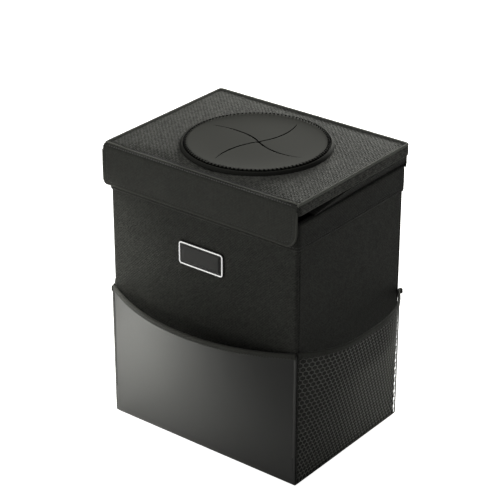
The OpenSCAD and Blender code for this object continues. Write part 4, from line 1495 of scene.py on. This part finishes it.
@dataclass
class SlitDisc:
    """The moulded rubber disc: four dished petals between curved slits, a toothed collar and a round bead."""

    shop: Workshop
    centre: tuple[float, float] = (2.0, -3.0)
    meeting: tuple[float, float] = (1.0, 1.0)
    top: float = 284.0
    lid_top: float = 280.0
    petal: float = 1.6
    sag: float = 1.3
    bore: float = 58.0
    collar: float = 64.8
    tooth: float = 2.4
    teeth: int = 108
    slit_radius: float = 62.0
    slit_length: float = 54.0
    slit_width: float = 1.7
    turn: float = -5.0
    lean: float = -1.0
    slit_taper: float = 22.0
    eye: float = 0.9
    per_tooth: int = 8
    stitch_in: float = 0.9
    stitch_low: float = 0.5
    # profile rows with painted shade: the groove near-black, the bead's outer flank dark grey
    groove: tuple[int, ...] = tuple(range(6, 11))
    flank: tuple[int, ...] = tuple(range(13, 19))

    def dish(self, r: float) -> float:
        """Height of the face at a radius: lowest in the middle, rising faster towards the collar."""
        return self.top - self.sag * (1 - min(r / (self.collar - 1.5), 1) ** 4)

    def profile(self) -> Array:
        """Turned profile: radius, height and how strongly the notches cut in at each point.

        It runs from the middle of the top, over the toothed collar, down into its groove, over the
        rounded bead, down the neck, round its lip, up the bore and back to the middle under the petals.

        Returns:
            Array (n, 3).
        """
        top, c, low = self.top, self.collar, self.lid_top
        face = np.linspace(self.eye, self.slit_length, 26)
        knots = [(r, self.dish(r), 0.0) for r in face]
        knots += [
            (58, self.dish(58), 0), (61, self.dish(61), 0), (c - 2.0, top - 0.04, 0.1),
            (c - 1.2, top - 0.06, 0.45), (c - 0.5, top - 0.12, 0.78), (c - 0.1, top - 0.35, 0.96),
            (c, top - 0.8, 1), (c, top - 1.3, 1), (c + 0.1, top - 1.75, 0.95), (c + 1.3, top - 1.75, 0),
            (c + 1.4, top - 1.4, 0), (c + 1.5, top - 1.0, 0), (c + 1.8, top - 0.75, 0),
            (c + 2.3, top - 0.8, 0), (c + 3.0, top - 1.3, 0), (c + 3.6, top - 2.0, 0),
            (c + 4.0, top - 2.9, 0), (c + 4.2, top - 3.6, 0), (c + 4.2, low + 0.1, 0),
            (c + 3.6, low - 0.1, 0), (62.0, low, 0), (61.0, low - 0.3, 0), (61.0, 273, 0),
            (61.0, 266.6, 0), (62.0, 266.3, 0), (62.2, 265.8, 0), (61.2, 265.2, 0), (58.2, 265.2, 0),
            (58.0, 266, 0), (58.0, 274, 0), (58.0, top - self.petal - 0.6, 0), (57.4, top - self.petal, 0),
        ]
        knots += [(r, self.dish(r) - self.petal, 0.0) for r in face[::-1]]
        return np.array(knots)

    def seam(self) -> None:
        """Black thread that sews the disc down: one short thick stitch in each notch between two teeth, whose
        black is also painted shade in the notch.
        """
        turn = np.linspace(0, 2 * math.pi, 1081) - math.pi / self.teeth
        radius = self.collar - self.stitch_in
        path = np.column_stack([self.centre[0] + radius * np.cos(turn), self.centre[1] + radius * np.sin(turn),
                                np.full(len(turn), self.top - self.stitch_low)])
        pitch = 2 * math.pi * radius / (self.teeth + 0.5)
        thread = stitches("disc_stitches", path, UPWARDS, pitch=pitch, long=2.1, thick=2.0)
        self.shop.fit(thread, "black_thread", Rides.LID, "disc_rubber")

    def sector(self, profile: Array, quarter: int, steps: int) -> Array:
        """Points of one quarter of the disc, from slit to slit.

        The slits are arcs through the middle, so the whole face is twisted by the arc's own angle,
        asin(r / 2R), and each slit becomes one line of the grid, opened by its half width.

        Args:
            profile: The turned profile.
            quarter: Number of the quarter, from 0 to 3.
            steps: Steps from one slit to the next.

        Returns:
            Array (steps + 1, profile points, 3).
        """
        r, z, tooth = profile.T
        share = np.linspace(0, 1, steps + 1)[:, None]
        twist = -self.lean * np.arcsin(np.clip(r, 0, self.slit_length) / (2 * self.slit_radius))
        taper = unit((self.slit_length - r) / self.slit_taper) ** 0.6
        half = self.slit_width / 2 / np.maximum(r, self.eye) * taper
        start = math.radians(self.turn) + quarter * math.pi / 2
        angle = start + half + share * (math.pi / 2 - 2 * half)
        angle = angle + twist + math.asin(self.slit_length / 2 / self.slit_radius) * self.lean
        notch = ease((np.cos(angle * self.teeth) + 0.1) / 0.7)
        reach = r - tooth * self.tooth * notch
        slide = 1 - ease(r / self.bore)
        return np.stack([self.centre[0] + self.meeting[0] * slide + reach * np.cos(angle),
                         self.centre[1] + self.meeting[1] * slide + reach * np.sin(angle),
                         np.broadcast_to(z, angle.shape)], axis=-1)

    def build(self) -> None:
        """Make the disc as four sectors that share the outer part and part along the slits.

        The cut walls of the slits and the groove have a near-black finish and the bead's outer flank a dark grey
        one; both are painted shade.
        """
        profile = self.profile()
        count = len(profile)
        steps = self.teeth * self.per_tooth // 4
        slit_rows = np.flatnonzero(profile[:, 0] <= self.slit_length + 0.01)
        top_rows = slit_rows[slit_rows < count // 2]
        low_rows = slit_rows[slit_rows >= count // 2][::-1]
        points, faces, finish = [], [], []
        for quarter in range(4):
            first = len(points) * (steps + 1) * count
            points.append(self.sector(profile, quarter, steps))
            skin = grid_faces(steps + 1, count, False, first)
            row = (skin.min(axis=1) - first) % count - len(top_rows)
            grid = first + np.arange((steps + 1) * count).reshape(steps + 1, count)
            cuts = [quad_strip(grid[0, top_rows], grid[0, low_rows]),
                    quad_strip(grid[-1, top_rows], grid[-1, low_rows])[:, ::-1],
                    quad_strip(grid[:, 0], grid[:, -1])[:, ::-1]]
            faces += [skin, *cuts]
            # painted shade by profile row: the groove takes material 1, the bead's outer flank material 2
            finish.append(np.isin(row, self.groove) + 2 * np.isin(row, self.flank))
            # the cut faces along the slits take material 1, the near-black painted shade
            finish += [np.ones(len(quads), int) for quads in cuts]
        disc = make_mesh("slit_disc", np.concatenate(points).reshape(-1, 3), np.vstack(faces)[:, ::-1])
        disc.data.polygons.foreach_set("material_index", np.concatenate(finish).astype(np.int32))
        weld(disc)
        self.shop.fit(disc, ("disc_rubber", "disc_painted_shade", "disc_flank_painted_shade"), Rides.LID, "disc_rubber", "opening_disc")
        self.seam()


@dataclass
class Flap:
    """The front flap: one padded tongue of cloth that comes off the lid's front edge and hangs down."""

    shop: Workshop
    half: float = 108.2
    top: float = 280.0
    low: float = 240.8
    thick: float = 2.2
    corner_left: float = 5.0
    corner_right: float = 13.5
    flare: float = 0.8
    top_arc: tuple[float, float] = (2.6, 5.0)
    end_sink: float = 0.7
    belly: float = 0.5
    seam_inset: float = 4.0
    seam_top: float = 9.0
    follows_lid: tuple[float, float, float] = (0.0, -82.8, 278.6)
    follows_flap: tuple[float, float, float] = (0.0, -84.7, 275.0)

    def half_at(self, z: Array, radius: float) -> Array:
        """Half the flap's width at a height, narrowed by the arc of a lower corner."""
        drop = np.clip(self.low + radius - z, 0, radius)
        return self.half - (radius - np.sqrt(np.maximum(radius**2 - drop**2, 0)))

    def surface(self, rows: int = 150) -> Array:
        """Middle surface: a path in the upright plane, off the lid's top, round its edge and down.

        Its points lie closer together towards both sides. At its top the width follows a small arc and
        the ends sink into the lid's cloth. Low down it follows the two corner arcs, and the lower right
        corner leans outwards.

        Args:
            rows: Points across the flap.

        Returns:
            Array (rows, down the flap, 3).
        """
        path = smooth_path(np.array([
            [82.7, 276.8], [82.8, 278.0], [83.2, 278.85], [83.9, 279.0], [84.6, 278.3], [84.8, 276.8],
            [84.7, 274], [84.6, 266], [84.6, 256], [84.6, 248], [84.6, 244], [84.6, self.low]]), 72)
        y, z = path.T
        crowding = math.pi / 2 * 0.96
        a = np.sin(np.linspace(-1, 1, rows) * crowding)[:, None] / math.sin(crowding)
        inset, run = self.top_arc
        start = inset * (1 - np.sqrt(1 - unit(1 - path_length(path) / run) ** 2))
        left, right = self.half_at(z, self.corner_left) - start, self.half_at(z, self.corner_right) - start
        x = np.where(a < 0, a * left, a * right)
        hang = ease((self.top - z) / (self.top - self.low))[None]
        lean = self.flare * ease((x - 62) / 44) * hang**1.6
        wave = 0.35 * ripple(x, np.broadcast_to(z, x.shape), 101, 70) * hang
        belly = self.belly * np.sin(unit((self.top - z) / 40) * math.pi)[None]
        y = np.broadcast_to(y, x.shape) + lean + wave + belly
        near_end = 1 - ease((self.half - np.abs(x)) / 8)
        sink = self.end_sink * near_end * unit(1 - path_length(path) / 10)[None]
        return np.stack([x, -y, z[None] - sink], axis=-1)

    def outward(self, middle: Array) -> Array:
        """Unit normals of the middle surface, turned to the front."""
        normal = surface_normals(middle)
        return -normal if normal[len(normal) // 2, -6, 1] > 0 else normal

    def fit(self, piece: bpy.types.Object, finish: str, *nodes: str) -> None:
        """Dress a piece that reaches from the lid's front edge to the flap."""
        self.shop.bridge(piece, finish, (Rides.LID, Rides.FLAP), self.follows_lid, self.follows_flap,
                         "flap_cloth", *nodes)

    def build(self) -> None:
        """Make the flap with a fuller hem round it and its thread."""
        middle = self.surface()
        cloth = cloth_uv(middle)
        edge = np.minimum(cloth[..., 0], cloth[..., 0].max() - cloth[..., 0])
        edge = np.minimum(edge, cloth[..., 1].max() - cloth[..., 1])
        thick = self.thick * (0.86 + 0.14 * bell(edge, 1.6, 1.4) - 0.16 * bell(edge, 4.0, 0.7))
        thinner_top = np.clip(cloth[..., 1] / 6, 0.35, 1)
        piece = thick_sheet("front_flap", middle, thick * thinner_top, roll=1.2)
        self.fit(piece, "flap_cloth", "flap_cover")
        self.hems(middle, thick)
        self.seam(middle, thick)

    def seam(self, middle: Array, thick: Array) -> None:
        """Stitches down the left side, along the foot and up the right side.

        Args:
            middle: The flap's middle surface.
            thick: Its thickness at each point.
        """
        face = middle + self.outward(middle) * (thick / 2)[..., None]
        depth = path_length(middle[middle.shape[0] // 2])
        across = path_length(middle[:, middle.shape[1] // 2])
        top = int(np.searchsorted(depth, self.seam_top))
        foot = int(np.searchsorted(depth, depth[-1] - self.seam_inset))
        first = int(np.searchsorted(across, self.seam_inset))
        last = len(across) - 1 - first
        left, bottom, right = face[first, top:foot], face[first:last + 1, foot], face[last, top:foot][::-1]
        line = smooth_path(np.vstack([left[:-4], bottom[4:-4], right[4:]])[::3], 400)
        self.fit(stitches("flap_stitches", line, (0.0, -1.0, 0.0), thick=0.45), "thread")

    def hems(self, middle: Array, thick: Array) -> None:
        """Rolled hem round the flap's free edges, lighter than the flap as a painted highlight, and the thread on
        its top fold.

        Args:
            middle: The flap's middle surface.
            thick: Its thickness at each point.
        """
        outer = middle + self.outward(middle) * (thick * 0.3)[..., None]
        first = 13
        route = np.vstack([outer[1, first:-1], outer[1:-1, -2], outer[-2, first:-1][::-1]])
        self.fit(tube("flap_rolled_hem", even_path(route, 420), 0.85), "hem_tape")
        fold = even_path(outer[14:-14, 6] + [0.0, -0.05, 0.1], 400)
        thread = stitches("flap_fold_stitches", fold, (0.0, -0.4, 1.0), pitch=2.7, long=1.7, thick=0.8)
        self.fit(thread, "light_thread")


@dataclass
class LidCloth:
    """Cloth that joins the lid to the box: the hinge strip at the back and a folded gusset on each side."""

    shop: Workshop
    low: float = 260.1
    high: float = 269.6
    edge: float = 105.4
    turn: float = 0.42
    front: float = -57.5
    back: float = 82.5
    fold: float = 38.0
    hinge_half: float = 105.9
    follows_bin: tuple[float, float, float] = (0, 0, 260.2)
    follows_lid: tuple[float, float, float] = (0, 0, 268.8)

    def fit(self, piece: bpy.types.Object, node: str) -> None:
        """Dress a piece that reaches from the rim to the lid."""
        self.shop.bridge(piece, "rim_cloth", (Rides.BIN, Rides.LID), self.follows_bin, self.follows_lid,
                         "body_cloth", node)

    def gusset(self, side: int) -> None:
        """One side gusset: a fold whose ridge climbs from the rim at its front end to the lid's skirt.

        Under the ridge the cloth slopes in to the rim's top. Over it the cloth folds deep inwards and
        comes back to the skirt, and this inner fold gets shallower until the cloth lies flush.

        Args:
            side: 1 for the right side and -1 for the left.
        """
        y = np.linspace(self.front, self.back, 98)[:, None]
        t = np.linspace(0, 1, 37)[None]
        climb = unit((y + 57) / 67)
        ridge_x, ridge_z = self.edge + 0.3 * climb, self.low + 0.9 + (self.high - self.low - 1.2) * climb**0.85
        lower, upper = unit(t / self.turn), unit((t - self.turn) / (1 - self.turn))
        foot = self.edge - 2.2
        depth = self.fold * (1 - climb) ** 1.1
        x = foot + (ridge_x - foot) * np.sin(lower * math.pi / 2) - depth * (1 - np.abs(2 * upper - 1) ** 1.35)
        z = self.low - 1.2 * (1 - lower) + (ridge_z - self.low) * lower + (self.high - ridge_z) * upper
        soft = 0.3 * ripple(y, z * 4, 111, 26) * (4 * lower * (1 - lower))
        grid = np.stack([side * (x + soft), np.broadcast_to(y, z.shape), z], axis=-1)
        name = "right_gusset" if side > 0 else "left_gusset"
        piece = thick_sheet(f"{name}_cloth", grid if side > 0 else grid[::-1], 0.7, roll=0.5)
        self.fit(piece, name)

    def hinge(self) -> None:
        """Hinge strip at the back: a narrow band with two soft bends, from the rim up to the lid."""
        path = smooth_path(np.array([
            [81.4, 257.0], [81.9, 259.5], [82.3, 262], [82.0, 264.5], [82.2, 267], [82.6, 269.6],
            [82.4, 271.5]]), 24)
        x, z = np.meshgrid(np.linspace(-self.hinge_half, self.hinge_half, 120), path[:, 1], indexing="ij")
        y = path[None, :, 0] + 0.25 * ripple(x, z * 3, 121, 30)
        grid = np.stack([x, y, z], axis=-1)
        piece = thick_sheet("back_hinge_cloth", grid[::-1], 0.8, roll=0.5)
        self.fit(piece, "lid_hinge_strip")

    def build(self) -> None:
        """Make the three cloth joints."""
        self.gusset(1)
        self.gusset(-1)
        self.hinge()


@dataclass
class HangingStrap:
    """The webbing on the back, in two lengths joined by a side-release buckle."""

    shop: Workshop
    back: float = 80.0
    height: float = 205.0
    span: float = 176.0
    width: float = 25.0
    thick: float = 1.4
    socket: float = 36.0
    loop_in: float = 6.1
    bar_inner: float = -6.06
    bar_outer: float = -13.5
    sewn_in: float = 11.0

    def ribbon(self, name: str, path: Array, node: str) -> None:
        """A strip of webbing carried along a path of (along, outward) points.

        Args:
            name: Name of the piece.
            path: Array (n, 2) in the strap's own frame.
            node: CAD node that it stands for.
        """
        line = even_path(path, 160)
        across = np.linspace(-1, 1, 21)
        ribs = 0.06 * np.cos(across * math.pi * 8)
        shape = (len(line), len(across))
        x = np.broadcast_to(-line[:, :1], shape)
        y = np.broadcast_to(self.back + line[:, 1:], shape)
        z = self.height + np.broadcast_to(across * self.width / 2, shape)
        grid = np.stack([x, y, z], axis=-1)
        piece = thick_sheet(name, grid, self.thick * np.broadcast_to(0.92 + ribs, shape), roll=0.7)
        self.shop.fit(piece, "webbing", Rides.BIN, "webbing", node)

    def build(self) -> None:
        """Make both webbings on the CAD's own routes, and the crossed box stitches at their sewn ends."""
        ply = self.thick / 2 + 0.1
        bar_low = 2 * self.thick + 0.7
        bar_high = bar_low + 3.4
        loop_x = self.socket - self.loop_in
        back_x = self.socket + 0.3 + self.thick
        left = np.array([
            [self.span / 2, ply], [back_x + 4, ply], [loop_x + 1, bar_low - ply], [loop_x, bar_low],
            [loop_x, bar_high], [loop_x + 1, bar_high + ply], [back_x - 1, bar_high + ply], [back_x, bar_high],
            [back_x + 5, ply + self.thick + 0.6], [back_x + 7, ply + self.thick + 0.1],
            [self.socket + 25, ply + self.thick + 0.1]])
        inner, outer = self.bar_inner, self.bar_outer
        right = np.array([
            [-self.span / 2, ply], [inner - 1.5, ply], [inner, ply + 1.5], [inner, bar_high],
            [inner - 1, bar_high + ply], [outer + 1, bar_high + ply], [outer, bar_high], [outer, bar_low],
            [outer - 1.2, bar_low - ply], [outer - 45, bar_low - ply - 0.2]])
        self.ribbon("left_webbing", left, "left_strap")
        self.ribbon("right_webbing", right, "right_strap")
        for tag, side in (("left", -1), ("right", 1)):
            self.box_stitch(f"{tag}_box_stitches", side * (self.span / 2 - self.sewn_in), self.thick + 0.2)

    def box_stitch(self, name: str, centre: float, level: float) -> None:
        """A stitched box with a cross in it, where the webbing is sewn to the wall.

        Args:
            name: Name of the piece.
            centre: Its middle along X.
            level: Its distance from the wall.
        """
        half = 8.0
        route = np.array([[-1, -1], [1, -1], [1, 1], [-1, 1], [-1, -1], [1, 1], [-1, 1], [1, -1]]) * half
        steps = even_path(route, 120)
        away = np.full(len(steps), self.back + level)
        line = np.column_stack([centre + steps[:, 0], away, self.height + steps[:, 1] * 1.2])
        thread = stitches(name, line, (0.0, 1.0, 0.0), pitch=2.6, long=2.0, thick=0.5)
        self.shop.fit(thread, "thread", Rides.BIN, "webbing")


@dataclass
class Studio:
    """Pale floor, soft lamps and the camera at the photo's own place."""

    focal: float = 135.08
    sensor: float = 36.0
    azimuth: float = 37.906
    elevation: float = 26.575
    distance: float = 1727.4
    target: tuple[float, float, float] = (-7.973, 0.0, 170.647)
    roll: float = 0.002
    ambient: float = 0.13
    floor_grey: float = 0.8
    floor_glow: float = 0.95

    def camera(self) -> None:
        """Place the camera from its two angles and its distance, looking at the target."""
        a, e = math.radians(self.azimuth), math.radians(self.elevation)
        back = Vector((math.sin(a) * math.cos(e), -math.cos(a) * math.cos(e), math.sin(e)))
        data = bpy.data.cameras.new("camera")
        data.lens, data.sensor_width = self.focal, self.sensor
        data.clip_start, data.clip_end = 0.05, 20
        camera = bpy.data.objects.new("camera", data)
        bpy.context.scene.collection.objects.link(camera)
        turn = (-back).to_track_quat("-Z", "Y").to_matrix().to_4x4() @ Matrix.Rotation(self.roll, 4, "Z")
        camera.matrix_world = Matrix.Translation((Vector(self.target) + back * self.distance) * MM) @ turn
        bpy.context.scene.camera = camera

    def lamp(self, name: str, place: tuple, aim: tuple, size: tuple[float, float], power: float,
             spread: float = 180.0) -> None:
        """Add a rectangular soft lamp. A narrowed one only lights: neither the camera nor gloss shows it.

        Args:
            name: Its name.
            place: Its middle, in millimetres.
            aim: The point that it faces.
            size: Its two sides.
            power: Its power in watts.
            spread: How wide its light spreads, in degrees.
        """
        data = bpy.data.lights.new(name, "AREA")
        data.shape, data.size, data.size_y = "RECTANGLE", size[0] * MM, size[1] * MM
        data.energy, data.spread, data.color = power, math.radians(spread), LAMP_COLOUR
        lamp = bpy.data.objects.new(name, data)
        bpy.context.scene.collection.objects.link(lamp)
        lamp.location = Vector(place) * MM
        lamp.visible_camera = False
        lamp.visible_glossy = spread >= 180
        lamp.rotation_mode = "QUATERNION"
        lamp.rotation_quaternion = (Vector(aim) - Vector(place)).to_track_quat("-Z", "Y")

    def lights(self) -> None:
        """Overhead and front light, a low lamp that grazes the lid from behind, and two pools on the floor.

        The pools are what the glossy pocket and the cords of the net mirror.
        """
        self.lamp("overhead", (-480, 150, 950), (0, 0, 260), (600, 600), 2.4)
        self.lamp("front", (-500, -1300, 380), (0, 0, 120), (600, 600), 4.5)
        self.lamp("back_low", (-300, 1080, 450), (0, 0, 280), (900, 160), 13.5)
        self.lamp("right", (1150, 150, 380), (0, 0, 110), (300, 900), 0.9)
        self.lamp("left_pool", (-235, -195, 230), (-212, -145, 10), (240, 280), 0.64, 104)
        self.lamp("right_pool", (136, 95, 90), (136, 95, 0), (50, 200), 0.025, 90)

    def world(self) -> None:
        """White behind the object, and an even dim grey for its light."""
        world = bpy.data.worlds.new("surround")
        world.use_nodes = True
        bpy.context.scene.world = world
        tree = world.node_tree
        tree.nodes.clear()
        b = NodeBench(tree)
        dim, white = b.add("ShaderNodeBackground"), b.add("ShaderNodeBackground")
        for shader in (dim, white):
            shader.inputs["Color"].default_value = (1, 1, 1, 1)
        dim.inputs["Strength"].default_value = self.ambient
        b.by_ray(dim.outputs[0], white.outputs[0], b.add("ShaderNodeOutputWorld").inputs[0])

    def floor(self) -> None:
        """Pale round floor: plain diffuse, with white added for the camera, so that it meets the background."""
        turn = np.linspace(0, 2 * math.pi, 96, endpoint=False)
        reach = np.array([1.0, 400, 1500, 4000])
        x, y = np.outer(np.cos(turn), reach), np.outer(np.sin(turn), reach)
        points = np.stack([x, y, np.zeros(x.shape)], axis=-1).reshape(-1, 3)
        floor = make_mesh("floor", points, grid_faces(*x.shape, True)[:, ::-1])
        material = bpy.data.materials.new("floor_white")
        material.use_nodes = True
        tree = material.node_tree
        tree.nodes.clear()
        b = NodeBench(tree)
        matte, glow, add = (b.add(k) for k in (
            "ShaderNodeBsdfDiffuse", "ShaderNodeEmission", "ShaderNodeAddShader"))
        matte.inputs["Color"].default_value = (self.floor_grey,) * 3 + (1,)
        glow.inputs["Strength"].default_value = self.floor_glow
        b.join(matte.outputs[0], add.inputs[0])
        b.join(glow.outputs[0], add.inputs[1])
        b.by_ray(matte.outputs[0], add.outputs[0], b.add("ShaderNodeOutputMaterial").inputs[0])
        floor.data.materials.append(material)

    def build(self) -> None:
        """Make the camera, lamps, surround and floor, with plain colour handling."""
        self.camera()
        self.lights()
        self.world()
        self.floor()
        bpy.context.scene.view_settings.view_transform = "Standard"


CARRIED_OVER = {
    "bottom_board": "stiffener", "front_board": "stiffener", "back_board": "stiffener",
    "left_board": "stiffener", "right_board": "stiffener", "lid_board": "stiffener",
    "flap_board": "stiffener", "lid_foam": "foam", "clamp_ring": "clamp_plastic",
    "rim_loop_strip": "hook_loop", "flap_hook_strip": "hook_loop",
    "buckle_socket": "buckle_plastic", "buckle_plug": "buckle_plastic",
}


def main() -> None:
    """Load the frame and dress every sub-assembly around it."""
    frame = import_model()
    Studio().build()
    shop = Workshop()
    for node, finish in CARRIED_OVER.items():
        shop.dress(frame["nodes"][node], finish)
        LOG.info("%s keeps its own shape, in %s", node, finish)
    Box(shop).build()
    FrontPocket(shop, "front_pocket", reach=80.0, half=106.6, bow=28.0, power=2.1, turn=0.0).build()
    for name, turn in (("right_pocket", 90.0), ("left_pocket", -90.0)):
        NetPocket(shop, name, reach=105.0, half=80.0, bow=23.0, power=3.0, turn=turn).build()
    Label(shop).build()
    Lid(shop).build()
    SlitDisc(shop).build()
    Flap(shop).build()
    LidCloth(shop).build()
    HangingStrap(shop).build()


if __name__ == "__main__":
    logging.basicConfig(level=logging.INFO)
    main()
